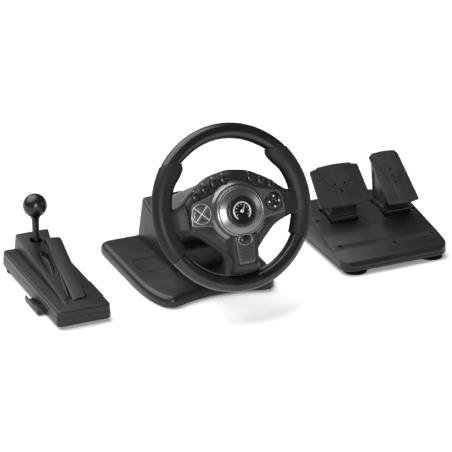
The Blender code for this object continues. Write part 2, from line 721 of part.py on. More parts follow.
def make_shifter(unit):
    plan = rounded(0, 0, SHIFTER_W, SHIFTER_D, 8, 4)
    top = level(inset(plan, 1.0), SHIFTER_SPLIT - GAP)
    base = add("shifter_base", loft([top, level(plan, SHIFTER_FOOT + 1),
                                     level(inset(plan, 2), SHIFTER_FOOT)], cap_first=False), black, unit)
    hollow(base, 2.5)
    for side in (-1, 1):
        x = LEVER[0] + side * 11.0
        ear = box((x - 1.8, LEVER[1] - 6, SHIFTER_FOOT + 1), (x + 1.8, LEVER[1] + 6, LEVER_PIVOT_Z + 5))
        cut(base, cutter("lever_ear", ear, unit), "UNION")
    cut(base, cutter("shifter_cable_inlet", rod(3.4, 250, 275, 20, "Y", (70.0, 13.0)), unit))
    cut(base, cutter("lever_pin_bore", rod(2.65, 30, 70, 16, "X", (LEVER[1], LEVER_PIVOT_Z)), unit))
    rings = [level(inset(plan, 1.0), SHIFTER_SPLIT), level(inset(plan, 1.4), SHIFTER_TOP - 2.5),
             level(inset(plan, 3.5), SHIFTER_TOP)]
    cover = add("shifter_cover", loft(rings), black, unit)
    wedge = [(20, 20), (32, 25), (86, SHIFTER_D - 3), (21, SHIFTER_D - 3)]
    wedge_face = [(21.5, 24), (30, 28), (82, SHIFTER_D - 5), (23, SHIFTER_D - 5)]
    body = loft([level(wedge, SHIFTER_TOP - 2), level(wedge_face, wedge_top)])
    rail = [(36, 28), (66.5, 33), (91.5, 218), (60, 226)]
    rail_face = [(38, 31), (64, 36), (88.5, 216), (61, 223)]
    rib = cutter("cover_rail", loft([level(rail, SHIFTER_TOP - 2), level(rail_face, rail_top)]), unit)
    cut(cover, cutter("cover_wedge", body, unit), "UNION")
    cut(cover, rib, "UNION")
    flat_room = inset(plan, COVER_WALL + 1.0)
    cut(cover, cutter("flat_room", loft([level(flat_room, 10), level(flat_room, SHIFTER_TOP - COVER_WALL)]), unit))
    under = [(25, 60), (35, 60), (58, 196), (25, 196)]
    under_dish = level(under, lambda x, y: wedge_top(x, y) - DISH_DEPTH - COVER_WALL)
    cut(cover, cutter("wedge_room", loft([level(under, 10), under_dish]), unit))
    inside = [(44, 50), (62, 50), (85, 212), (65, 215)]
    under_rail = level(inside, lambda x, y: rail_top(x, y) - COVER_WALL)
    cut(cover, cutter("rail_room", loft([level(inside, 10), under_rail]), unit))
    bay = [(27, 195), (64, 195), (76, SHIFTER_D - 10), (27, SHIFTER_D - 10)]
    slope = level(bay, lambda x, y: wedge_top(x, y) - 4.0)
    cut(cover, cutter("lever_bay", loft([level(bay, 10), slope]), unit))
    cut(cover, cutter("lever_hole", rod(11.0, 10, 90, 28, at=LEVER), unit))
    dish_floor = [(33, 119), (37, 116), (42, 125), (46, 150), (49, 175), (47, 188), (42, 192), (38, 187),
                  (34, 165), (32, 140)]
    dish = loft([level(inset(dish_floor, 1.5), lambda x, y: wedge_top(x, y) - DISH_DEPTH),
                 level(inset(dish_floor, -1.0), 70)])
    cut(cover, cutter("cover_dish", dish, unit))

    pivot = empty("lever_axis", (*LEVER, LEVER_PIVOT_Z), unit)
    z0 = LEVER_PIVOT_Z
    stem = turned("shifter_stem",
                  [(0, 71), (9, 71), (9, 66), (6, 58), (5.8, 12), (8.5, 9), (8.5, -9), (0, -9)],
                  steel, pivot, steps=24)
    cut(stem, cutter("pin_bore", rod(2.65, -20, 20, 16, "X"), pivot))
    ball = [(KNOB_R * math.sin(a), KNOB_Z - z0 + KNOB_R * math.cos(a))
            for a in [math.radians(150 * i / 14) for i in range(15)]]
    ball += [(9.3, ball[-1][1]), (9.3, 71.3), (0, 71.3)]
    turned("shifter_knob", ball, gloss, pivot, steps=28)
    pin_place = empty("pin_place", (*LEVER, LEVER_PIVOT_Z), unit)
    add("shifter_pivot_pin", rod(2.5, -13, 13, 12, "X"), steel, pin_place)
    bar = [(-11, 2.4), (-11, 12), (-8.6, 12), (-8.6, 4.7), (SHIFTER_W + 7.6, 4.7), (SHIFTER_W + 7.6, 16),
           (SHIFTER_W + 10, 16), (SHIFTER_W + 10, 2.4)]
    add("shifter_clamp_bracket", loft([[(x, y, z) for x, z in bar] for y in (62, 122)]), dark, unit)
    for i, (x, y) in enumerate(((18, 240), (SHIFTER_W - 20, 240), (SHIFTER_W / 2, 30))):
        make_cup("shifter_suction_cup_%d" % (i + 1), unit, x, y, SHIFTER_FOOT - 0.3, 17.0)


clear_scene()
parts = collection("racing_wheel_kit")
cutters = collection("cutters")
black = material("black_plastic", (0.02, 0.02, 0.022), 0.42)
gloss = material("gloss_plastic", (0.012, 0.012, 0.013), 0.2)
dark = material("dark_plastic", (0.03, 0.03, 0.032), 0.5)
rubber = material("rubber", (0.018, 0.018, 0.018), 0.75)
silver = material("gunmetal", (0.2, 0.2, 0.19), 0.35, 0.7)
steel = material("steel", (0.45, 0.45, 0.46), 0.3, 1.0)
white = material("nylon", (0.8, 0.8, 0.76), 0.5)
green = material("circuit_board", (0.02, 0.14, 0.06), 0.5)

origin = (-KIT_CENTRE[0], -KIT_CENTRE[1], 0.0)
kit = empty("kit", origin)
wheel_unit = empty("wheel_base", (0, 0, 0), kit)
tilt = Matrix.Rotation(math.pi / 2 - RIM_TILT, 4, "X")
steering_rest = empty("steering_rest", RIM_CENTRE, wheel_unit, tilt)
steering_axis = empty("steering_axis", RIM_CENTRE, wheel_unit, tilt)
pedal_unit = empty("pedal_unit", (*PEDALS_AT, 0), kit)
shifter_unit = empty("shifter_unit", (*SHIFTER_AT, 0), kit)

make_base(wheel_unit)
make_steering_gear(steering_axis, steering_rest)
make_rim(steering_axis)
covers = make_hub(steering_axis)
make_buttons(steering_axis, *covers)
make_paddles(steering_axis)
make_pedals(pedal_unit)
make_shifter(shifter_unit)
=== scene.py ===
"""The looks of the racing wheel kit: a steering wheel on its base, a two-pedal unit and a gear shifter.

Lengths are in millimetres in each unit's own frame; the frame matrices turn them into metres. The wheel is
drawn in the rim's frame: x right, y up the wheel's face, z towards the driver.
"""

import json
import math

import bmesh
import bpy
import numpy as np
from mathutils import Matrix, Vector
from mathutils.bvhtree import BVHTree


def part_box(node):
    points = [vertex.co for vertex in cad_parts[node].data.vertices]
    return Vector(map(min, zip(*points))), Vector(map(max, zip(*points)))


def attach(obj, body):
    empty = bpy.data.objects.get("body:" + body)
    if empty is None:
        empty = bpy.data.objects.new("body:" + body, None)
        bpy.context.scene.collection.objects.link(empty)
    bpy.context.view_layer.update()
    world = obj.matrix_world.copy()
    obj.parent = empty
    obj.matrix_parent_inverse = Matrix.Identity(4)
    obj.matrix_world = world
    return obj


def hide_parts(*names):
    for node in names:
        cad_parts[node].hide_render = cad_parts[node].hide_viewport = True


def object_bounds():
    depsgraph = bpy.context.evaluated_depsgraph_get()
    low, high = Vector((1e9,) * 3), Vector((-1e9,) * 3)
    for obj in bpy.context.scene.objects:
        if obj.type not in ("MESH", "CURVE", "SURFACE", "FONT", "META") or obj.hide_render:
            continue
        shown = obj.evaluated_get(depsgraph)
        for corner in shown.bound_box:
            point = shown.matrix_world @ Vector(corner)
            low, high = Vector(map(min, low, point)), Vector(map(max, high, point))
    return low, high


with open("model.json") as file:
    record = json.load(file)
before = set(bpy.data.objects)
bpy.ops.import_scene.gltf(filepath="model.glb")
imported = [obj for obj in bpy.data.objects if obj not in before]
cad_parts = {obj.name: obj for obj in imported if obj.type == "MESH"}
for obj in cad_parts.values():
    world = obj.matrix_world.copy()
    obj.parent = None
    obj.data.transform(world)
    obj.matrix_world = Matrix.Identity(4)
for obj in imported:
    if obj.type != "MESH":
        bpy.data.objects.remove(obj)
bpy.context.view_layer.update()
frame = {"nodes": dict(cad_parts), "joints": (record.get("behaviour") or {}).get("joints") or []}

MM = 0.001
WALL = 2.5
WHEEL = "steering_wheel"

# Rim
RIM_R = 122.0
TUBE_R = 12.93
GRIP_R = 14.0
GRIP_FROM = -31.5
GRIP_TOP = 82.0
SEAM = math.degrees(math.asin(GRIP_TOP / RIM_R))
SLIT = 0.25

# Hub
HUB_REACH = 108.5
DRUM_Y = -8.0
WING_Z = 23.5
SEAM_X = 81.6
XPAD = (-62.5, -2.0)
DPAD = (62.5, -2.0)
STRIP_BUTTONS = ((65.0, 25.5), (48.5, 35.0), (31.6, 42.0), (14.4, 45.5))
OVAL_Y = -53.0
OVAL_RX = 9.4
OVAL_RY = 6.0
TRIM_TOP = -46.0
TRIM_BOTTOM = -92.0
PADDLE_Z = -25.5
PADDLE_X = 31.0
SIDES = ((1, "right"), (-1, "left"))
QUARTERS = (0, 90, 180, 270)

# Wheel base
PLATE_WIDE = 229.0
MIDDLE_X = 114.5
RIM_Y = -37.0
RIM_Z = 181.6


def corner(node, x, y):
    """The frame of the unit in which a node's lowest corner is at (x, y)."""
    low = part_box(node)[0]
    return Matrix.Translation((low.x - x * MM, low.y - y * MM, 0)) @ Matrix.Scale(MM, 4)


steering = next(j for j in frame["joints"] if j["name"] == "steering")
RIM_TILT = math.atan2(steering["axis"][2], -steering["axis"][1])
BASE = corner("column_housing", 69.5, 93.0)
PEDALS = corner("pedal_bottom_shell", 0.0, 0.0)
SHIFTER = corner("shifter_base", 0.0, 0.0)
RIM = BASE @ Matrix.Translation((MIDDLE_X, RIM_Y, RIM_Z)) @ Matrix.Rotation(math.pi / 2 - RIM_TILT, 4, "X")


# Materials

class Tree:
    """A small helper for building one material's nodes."""

    def __init__(self, name):
        self.mat = bpy.data.materials.new(name)
        self.mat.use_nodes = True
        self.nodes = self.mat.node_tree.nodes
        self.links = self.mat.node_tree.links
        self.shader = self.nodes["Principled BSDF"]
        self.where = self.nodes.new("ShaderNodeTexCoord").outputs["Object"]

    def add(self, kind, **values):
        made = self.nodes.new(kind)
        for key, value in values.items():
            if hasattr(made, key):
                setattr(made, key, value)
            else:
                made.inputs[key.replace("_", " ").capitalize()].default_value = value
        return made

    def noise(self, scale, detail=2.0, roughness=0.5, stretch=None):
        made = self.add("ShaderNodeTexNoise", scale=scale, detail=detail, roughness=roughness)
        source = self.where
        if stretch:
            mapping = self.add("ShaderNodeMapping")
            mapping.inputs["Scale"].default_value = stretch
            self.links.new(self.where, mapping.inputs["Vector"])
            source = mapping.outputs["Vector"]
        self.links.new(source, made.inputs["Vector"])
        return made.outputs["Fac"]

    def cells(self, scale, output="Distance"):
        made = self.add("ShaderNodeTexVoronoi", scale=scale)
        self.links.new(self.where, made.inputs["Vector"])
        return made.outputs[output]

    def spread(self, source, low, high, to_low=0.0, to_high=1.0):
        made = self.nodes.new("ShaderNodeMapRange")
        for key, value in zip(("From Min", "From Max", "To Min", "To Max"), (low, high, to_low, to_high)):
            made.inputs[key].default_value = value
        self.links.new(source, made.inputs["Value"])
        return made.outputs["Result"]

    def cloud(self, scale, detail, low, high, to_low=0.0, to_high=1.0):
        """Plain noise, stretched to run between two values."""
        return self.spread(self.noise(scale, detail), low, high, to_low, to_high)

    def maths(self, operation, a, b):
        made = self.add("ShaderNodeMath", operation=operation)
        for socket, value in zip(made.inputs, (a, b)):
            if isinstance(value, float):
                socket.default_value = value
            else:
                self.links.new(value, socket)
        return made.outputs[0]

    def mix(self, factor, first, second):
        made = self.add("ShaderNodeMix", data_type="RGBA")
        for socket, value in zip((made.inputs[6], made.inputs[7]), (first, second)):
            if isinstance(value, tuple):
                socket.default_value = (*value, 1.0)
            else:
                self.links.new(value, socket)
        self.links.new(factor, made.inputs[0])
        return made.outputs[2]

    def edges(self, low=0.52, high=0.62):
        return self.spread(self.add("ShaderNodeNewGeometry").outputs["Pointiness"], low, high)

    def bump(self, height, distance, strength=0.5, after=None):
        made = self.add("ShaderNodeBump", strength=strength, distance=distance)
        self.links.new(height, made.inputs["Height"])
        if after:
            self.links.new(after, made.inputs["Normal"])
        return made.outputs["Normal"]

    def set(self, **values):
        for key, value in values.items():
            socket = self.shader.inputs[key.replace("_", " ")]
            if isinstance(value, (float, int, tuple)):
                socket.default_value = (*value, 1.0) if isinstance(value, tuple) else value
            else:
                self.links.new(value, socket)
        return self.mat


def moulded(name, dark, light, rough, grain, depth, wear):
    """Moulded plastic: clouded colour, a spark-eroded grain, rubbed paler edges and faint handling marks."""
    t = Tree(name)
    cloud = t.cloud(38.0, 4.0, 0.35, 0.68)
    base = t.mix(cloud, dark, light)
    worn = t.maths("MULTIPLY", t.edges(), t.cloud(160.0, 3.0, 0.45, 0.6))
    colour = t.mix(t.maths("MULTIPLY", worn, wear), base, tuple(min(c * 3.2 + 0.01, 1.0) for c in light))
    smear = t.noise(24.0, 3.0, 0.6, (1.0, 0.35, 1.0))
    finish = t.maths("ADD", t.spread(smear, 0.3, 0.7, rough - 0.05, rough + 0.07),
                     t.spread(t.noise(grain * 0.5, 2.0), 0.3, 0.7, -0.03, 0.03))
    fine = t.bump(t.noise(grain, 3.0, 0.55), depth, 0.55)
    wave = t.bump(t.noise(60.0, 1.0), 0.0006, 0.12, fine)
    return t.set(Base_Color=colour, Roughness=finish, Normal=wave, Specular_IOR_Level=0.3)


def glossy(name, dark, light, rough):
    """Polished plastic with orange peel, faint hairline scratches and a little dust."""
    t = Tree(name)
    dust = t.spread(t.cells(2600.0), 0.0, 0.12, 0.35, 0.0)
    veil = t.cloud(30.0, 4.0, 0.5, 0.75)
    colour = t.mix(t.maths("MULTIPLY", dust, veil), t.mix(veil, dark, light), (0.2, 0.2, 0.2))
    scratch = t.spread(t.noise(420.0, 2.0, 0.5, (1.0, 0.06, 0.4)), 0.62, 0.7, 0.0, 0.14)
    finish = t.maths("ADD", t.cloud(22.0, 3.0, 0.3, 0.7, rough - 0.04, rough + 0.06), scratch)
    peel = t.bump(t.noise(260.0, 1.0), 0.0004, 0.06)
    return t.set(Base_Color=colour, Roughness=finish, Normal=peel, Specular_IOR_Level=0.42)


def soft_rubber(name, dark, light, rough, pebble, depth):
    """Soft-touch rubber with a leather-like pebble whose grooves carry painted shade, rubbed a little
    smoother where hands hold it.
    """
    t = Tree(name)
    cloud = t.cloud(26.0, 4.0, 0.35, 0.7)
    cell = t.cells(pebble)
    # groove is high at the cell borders, the creases between the pebbles
    groove = t.spread(cell, 0.25, 0.6)
    # painted shade: the colour is pulled to the dark tone in the grooves between the pebbles
    colour = t.mix(groove, t.mix(cloud, light, dark), dark)
    rubbed = t.cloud(14.0, 2.0, 0.35, 0.65, rough - 0.09, rough + 0.06)
    pebbles = t.bump(t.spread(cell, 0.1, 0.7, 1.0, 0.0), depth, 0.5)
    fine = t.bump(t.noise(pebble * 3.2, 3.0), depth * 0.5, 0.35, pebbles)
    return t.set(Base_Color=colour, Roughness=rubbed, Normal=fine, Specular_IOR_Level=0.22)


def metal_paint(name, dark, light, metallic, rough):
    """Metallic paint: fine flakes, a soft cloud and edges rubbed brighter."""
    t = Tree(name)
    split = t.add("ShaderNodeSeparateColor")
    t.links.new(t.cells(3800.0, "Color"), split.inputs["Color"])
    glint = split.outputs["Red"]
    cloud = t.cloud(30.0, 3.0, 0.3, 0.7)
    body = t.mix(cloud, dark, light)
    sparkle = t.mix(t.spread(glint, 0.5, 1.0, 0.0, 0.55), body, tuple(min(1.0, c * 1.5) for c in light))
    colour = t.mix(t.maths("MULTIPLY", t.edges(), 0.2), sparkle, (0.4, 0.4, 0.39))
    finish = t.spread(glint, 0.0, 1.0, rough - 0.07, rough + 0.09)
    fine = t.bump(t.noise(1500.0, 2.0), 0.00005, 0.35)
    return t.set(Base_Color=colour, Roughness=finish, Normal=fine, Metallic=metallic)


def brushed(name, dark, light, rough):
    """Machined steel with turning lines and a few stains."""
    t = Tree(name)
    lines = t.noise(900.0, 2.0, 0.5, (0.08, 1.0, 1.0))
    stain = t.cloud(45.0, 4.0, 0.5, 0.8)
    colour = t.mix(stain, t.mix(lines, light, dark), tuple(c * 0.7 for c in dark))
    finish = t.spread(lines, 0.3, 0.7, rough - 0.08, rough + 0.1)
    return t.set(Base_Color=colour, Roughness=finish, Normal=t.bump(lines, 0.00005, 0.4), Metallic=1.0)


def board(name):
    """Solder mask over copper tracks."""
    t = Tree(name)
    tracks = t.nodes.new("ShaderNodeTexBrick")
    tracks.inputs["Scale"].default_value = 90.0
    tracks.inputs["Mortar Size"].default_value = 0.03
    t.links.new(t.where, tracks.inputs["Vector"])
    shade = t.cloud(300.0, 2.0, 0.35, 0.65)
    mask = t.mix(shade, (0.002, 0.014, 0.006), (0.004, 0.022, 0.01))
    colour = t.mix(tracks.outputs["Fac"], mask, (0.01, 0.04, 0.015))
    return t.set(Base_Color=colour, Roughness=t.spread(shade, 0.0, 1.0, 0.32, 0.45),
                 Normal=t.bump(tracks.outputs["Fac"], 0.0001, 0.4))


FINISHES = {
    "black": (moulded("black_moulded", (0.006, 0.006, 0.0065), (0.011, 0.011, 0.0115), 0.36, 1500.0, 0.00006,
                      0.3), "black_plastic"),
    "satin": (moulded("hub_satin", (0.007, 0.007, 0.0075), (0.012, 0.012, 0.0125), 0.38, 1900.0, 0.00005,
                      0.25), "black_plastic"),
    "gloss": (glossy("piano_black", (0.004, 0.004, 0.0045), (0.007, 0.007, 0.0075), 0.28), "gloss_plastic"),
    "dark": (moulded("dark_grained", (0.012, 0.012, 0.0125), (0.02, 0.02, 0.0205), 0.48, 1100.0, 0.0001,
                     0.35), "dark_plastic"),
    "rubber": (soft_rubber("soft_rubber", (0.005, 0.005, 0.005), (0.012, 0.012, 0.012), 0.52, 1300.0,
                           0.00010), "rubber"),
    "silver": (metal_paint("gunmetal_flake", (0.11, 0.11, 0.106), (0.15, 0.15, 0.145), 0.85, 0.28),
               "gunmetal_paint"),
    "bright": (metal_paint("bright_flake", (0.5, 0.5, 0.49), (0.62, 0.62, 0.6), 0.6, 0.34), "gunmetal_paint"),
    "grey": (metal_paint("grey_flake", (0.04, 0.04, 0.039), (0.065, 0.065, 0.063), 0.75, 0.3),
             "gunmetal_paint"),
    "steel": (brushed("machined_steel", (0.33, 0.33, 0.34), (0.5, 0.5, 0.5), 0.3), "steel"),
    "white": (moulded("white_nylon", (0.62, 0.62, 0.6), (0.74, 0.74, 0.71), 0.45, 900.0, 0.00006, 0.1),
              "nylon"),
    "green": (board("solder_mask"), "circuit_board"),
}
KEPT_NODES = {"steering_shaft": "steel", "front_bearing": "steel", "rear_bearing": "steel",
              "sensor_gear": "white", "angle_sensor": "dark", "hub_circuit_board": "green",
              "pedal_axle": "steel", "brake_spring": "steel", "gas_spring": "steel",
              "shifter_pivot_pin": "steel"}
for name, node in frame["nodes"].items():
    for place in node.material_slots:
        place.material = FINISHES[KEPT_NODES.get(name, "black")][0]


# Mesh helpers

def skin(rings, open_foot=False):
    """Joins rings of equal point counts into one skin, faced outwards."""
    bm = bmesh.new()
    rows = [[bm.verts.new(p) for p in ring] for ring in rings]
    span(bm, zip(rows, rows[1:]))
    foot = bm.faces.new(rows[0][::-1])
    bm.faces.new(rows[-1])
    face_out(bm)
    if open_foot:
        bm.faces.remove(foot)
    return bm


def span(bm, pairs):
    """Fills the bands between pairs of equally long rows of vertices."""
    for low, high in pairs:
        for i in range(len(low)):
            j = (i + 1) % len(low)
            bm.faces.new((low[i], low[j], high[j], high[i]))


def face_out(bm):
    if bm.calc_volume(signed=True) < 0:
        bmesh.ops.reverse_faces(bm, faces=bm.faces)


def tube_of(rings):
    """Rings joined one to the next and the last to the first."""
    bm = bmesh.new()
    rows = [[bm.verts.new(p) for p in ring] for ring in rings]
    span(bm, zip(rows, rows[1:] + rows[:1]))
    face_out(bm)
    return bm


def prism(outline, low, high):
    return skin([level(outline, low), level(outline, high)])


def stacked(outline, pairs):
    """A solid from an outline's (inset, z) pairs."""
    return skin([level(inset(outline, d), z) for d, z in pairs])


def shell_of(outline, pairs):
    """A thin shell, open below, from an outline's (inset, z) pairs."""
    return hollow(skin([level(inset(outline, d), z) for d, z in pairs], True))


def crate(low, high):
    return prism(rounded(low[0], low[1], high[0], high[1], 0.01, 2), low[2], high[2])


def rod(radius, low, high, at=(0.0, 0.0), sides=48, axis="Z"):
    turn = {"X": Matrix.Rotation(math.pi / 2, 4, "Y"), "Y": Matrix.Rotation(-math.pi / 2, 4, "X"),
            "Z": Matrix()}
    spot = list(at)
    spot.insert("XYZ".index(axis), 0.0)
    return moved(prism(oval(0, 0, radius, radius, sides), low, high), Matrix.Translation(spot) @ turn[axis])


def lathe(profile, steps=96, at=(0.0, 0.0, 0.0)):
    """A profile of (radius, z), open at the axis or closed into a ring, turned about Z."""
    bm = bmesh.new()
    rows = []
    for r, z in profile:
        angles = [2 * math.pi * i / steps for i in range(steps if r else 1)]
        rows.append([bm.verts.new((at[0] + r * math.cos(a), at[1] + r * math.sin(a), at[2] + z))
                     for a in angles])
    pairs = list(zip(rows, rows[1:]))
    if profile[0][0] or profile[-1][0]:
        pairs.append((rows[-1], rows[0]))
    for a, b in pairs:
        for i in range(steps):
            j = (i + 1) % steps
            ring = (a[i % len(a)], a[j % len(a)], b[j % len(b)], b[i % len(b)])
            face = list(dict.fromkeys(ring))
            if len(face) > 2:
                bm.faces.new(face)
    face_out(bm)
    return bm


def join(*meshes):
    """Several bmeshes as one."""
    whole = bmesh.new()
    for bm in meshes:
        mesh = bpy.data.meshes.new("part")
        bm.to_mesh(mesh)
        bm.free()
        whole.from_mesh(mesh)
        bpy.data.meshes.remove(mesh)
    return whole


def moved(bm, matrix):
    bmesh.ops.transform(bm, matrix=matrix, verts=bm.verts)
    if matrix.determinant() < 0:
        bmesh.ops.reverse_faces(bm, faces=bm.faces)
    return bm


def mirror_x(bm):
    return moved(bm, Matrix.Scale(-1, 4, (1, 0, 0)))


def shift(x, y, z=0.0):
    return Matrix.Translation((x, y, z))


def spun(degrees):
    return Matrix.Rotation(math.radians(degrees), 4, "Z")


def ease(x):
    x = min(max(x, 0.0), 1.0)
    return x * x * (3 - 2 * x)


def bell(a, centre, width):
    return math.exp(-((a - centre) / width) ** 2)


def level(outline, z):
    return [(x, y, z) for x, y in outline]


def draped(outline, top, lift=0.0):
    """An outline laid on a surface, or a little above or below it."""
    return [(x, y, top(x, y) + lift) for x, y in outline]


def placed(outline, at):
    return [(at[0] + x, at[1] + y) for x, y in outline]


def scaled(outline, s, centre_y=0.0):
    """An outline drawn in towards (0, centre_y)."""
    return [(x * s, centre_y + (y - centre_y) * s) for x, y in outline]


def inset(outline, by):
    """A counter-clockwise outline moved inwards."""
    out = []
    count = len(outline)
    for i in range(count):
        before = Vector(outline[i]) - Vector(outline[i - 1])
        after = Vector(outline[(i + 1) % count]) - Vector(outline[i])
        n1 = Vector((-before.y, before.x)).normalized()
        n2 = Vector((-after.y, after.x)).normalized()
        mid = (n1 + n2).normalized()
        reach = by / max(mid.dot(n1), 0.5)
        out.append((outline[i][0] + mid.x * reach, outline[i][1] + mid.y * reach))
    return out


def arc(cx, cy, rx, ry, start, end, count):
    angles = [math.radians(start + (end - start) * i / (count - 1)) for i in range(count)]
    return [(cx + rx * math.cos(a), cy + ry * math.sin(a)) for a in angles]


def oval(cx, cy, rx, ry, count=48, turn=0.0):
    c, s = math.cos(turn), math.sin(turn)
    flat = [(rx * math.cos(2 * math.pi * i / count), ry * math.sin(2 * math.pi * i / count))
            for i in range(count)]
    return [(cx + x * c - y * s, cy + x * s + y * c) for x, y in flat]


def rounded(x0, y0, x1, y1, r, count=9):
    points = arc(x1 - r, y0 + r, r, r, -90, 0, count)
    points += arc(x1 - r, y1 - r, r, r, 0, 90, count)
    points += arc(x0 + r, y1 - r, r, r, 90, 180, count)
    return points + arc(x0 + r, y0 + r, r, r, 180, 270, count)


def curve_through(points, per_span):
    """A Catmull-Rom curve through (x, y) points, with its ends kept."""
    line = [points[0]] + list(points) + [points[-1]]
    out = []
    for i in range(1, len(line) - 2):
        p0, p1, p2, p3 = [Vector(p) for p in line[i - 1:i + 3]]
        for k in range(per_span):
            t = k / per_span
            spot = 0.5 * (2 * p1 + (p2 - p0) * t + (2 * p0 - 5 * p1 + 4 * p2 - p3) * t * t
                          + (3 * p1 - p0 - 3 * p2 + p3) * t ** 3)
            out.append(tuple(spot))
    out.append(tuple(points[-1]))
    return out


def mirrored(half):
    left = [(-x, y) for x, y in reversed(half) if x > 0.01]
    return (half + left)[::-1]


def soften(outline, radius, per_corner=5):
    """A counter-clockwise polygon with its corners rounded off."""
    out = []
    count = len(outline)
    for i in range(count):
        p0, p1, p2 = Vector(outline[i - 1]), Vector(outline[i]), Vector(outline[(i + 1) % count])
        reach = min(radius, (p0 - p1).length * 0.45, (p2 - p1).length * 0.45)
        a = p1 + (p0 - p1).normalized() * reach
        b = p1 + (p2 - p1).normalized() * reach
        for k in range(per_corner):
            t = k / (per_corner - 1)
            out.append(tuple((1 - t) ** 2 * a + 2 * t * (1 - t) * p1 + t * t * b))
    return out


def dense(outline, step):
    """An outline with points added so that none lie further apart than step."""
    out = []
    for i, p in enumerate(outline):
        q = outline[(i + 1) % len(outline)]
        count = max(1, math.ceil(math.dist(p, q) / step))
        out += [(p[0] + (q[0] - p[0]) * k / count, p[1] + (q[1] - p[1]) * k / count) for k in range(count)]
    return out


def fillet(low, high, radius, steps=5):
    """(inset, z) pairs for a wall from low to high whose upper edge is rounded."""
    pairs = [(0.0, low), (0.0, high - radius)]
    for k in range(1, steps + 1):
        a = math.pi / 2 * k / steps
        pairs.append((radius * (1 - math.cos(a)), high - radius + radius * math.sin(a)))
    return pairs


def slab(outline, low, high, radius, both=False):
    """An outline raised from low to high with a rounded upper edge, and a rounded lower edge too if both."""
    pairs = fillet(low, high, radius)
    if both:
        pairs = [(d, low + high - z) for d, z in fillet(low, high, radius)[:1:-1]] + pairs[1:]
    return stacked(outline, pairs)


def piece(name, bm, where, finish, body, nodes=(), sharp=35):
    """Makes one visible piece from a bmesh in millimetres and hangs it on a body."""
    moved(bm, where)
    mesh = bpy.data.meshes.new(name)
    bm.to_mesh(mesh)
    bm.free()
    mat, word = FINISHES[finish]
    mesh.materials.append(mat)
    made = bpy.data.objects.new(name, mesh)
    bpy.context.scene.collection.objects.link(made)
    mesh.shade_smooth()
    mesh.set_sharp_from_angle(angle=math.radians(sharp))
    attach(made, body)
    if nodes:
        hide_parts(*nodes)
    return made


def work_object(bm):
    """A temporary object that takes a bmesh over."""
    work = bpy.data.objects.new("work", bpy.data.meshes.new("work"))
    bpy.context.scene.collection.objects.link(work)
    bm.to_mesh(work.data)
    bm.free()
    return work


def modify(work, kind, **settings):
    mod = work.modifiers.new("step", kind)
    for key, value in settings.items():
        setattr(mod, key, value)


def apply_modifiers(work):
    graph = bpy.context.evaluated_depsgraph_get()
    made = bpy.data.meshes.new_from_object(work.evaluated_get(graph))
    work.modifiers.clear()
    old = work.data
    work.data = made
    bpy.data.meshes.remove(old)


def taken_back(work):
    """The modified bmesh of a temporary object, which goes."""
    apply_modifiers(work)
    out = bmesh.new()
    out.from_mesh(work.data)
    bpy.data.meshes.remove(work.data)
    return out


def boolean(bm, tools, operation="DIFFERENCE"):
    """A bmesh with others cut from it, joined to it or used to trim it, all in the same frame."""
    base = work_object(bm)
    for tool in tools:
        other = work_object(tool)
        modify(base, "BOOLEAN", operation=operation, solver="EXACT", object=other)
        apply_modifiers(base)
        bpy.data.meshes.remove(other.data)
    return taken_back(base)


def hollow(bm):
    """An open skin given a wall on its inner side."""
    work = work_object(bm)
    modify(work, "SOLIDIFY", thickness=WALL, offset=-1.0, use_even_offset=True)
    return taken_back(work)


def melted(bm, voxel, rounds):
    """Overlapping solids as one soft skin."""
    work = work_object(bm)
    modify(work, "REMESH", mode="VOXEL", voxel_size=voxel, use_smooth_shade=True)
    modify(work, "SMOOTH", factor=0.5, iterations=rounds)
    return taken_back(work)


def beveled(bm, width, segments=3):
    work = work_object(bm)
    modify(work, "BEVEL", width=width, segments=segments, limit_method="ANGLE", angle_limit=math.radians(40))
    return taken_back(work)


# Wheel base

def base_outline():
    front = [(MIDDLE_X - x, 18.0 * (1 - (x / 84.5) ** 2)) for x in range(0, 80, 4)]
    corner_line = curve_through([(33, 0.5), (24, 3.5), (12, 21), (3, 56), (0, 92)], 8)
    left = front + corner_line + arc(15, 248, 15, 15, 180, 90, 10)
    right = [(PLATE_WIDE - x, y) for x, y in reversed(left) if x < 114.49]
    outline = resample((left + right)[::-1], 232)
    for _ in range(6):
        outline = soften_turn(outline)
    return outline


def column_top(x, y):
    return 92.5 - 0.25 * (249.0 - y)


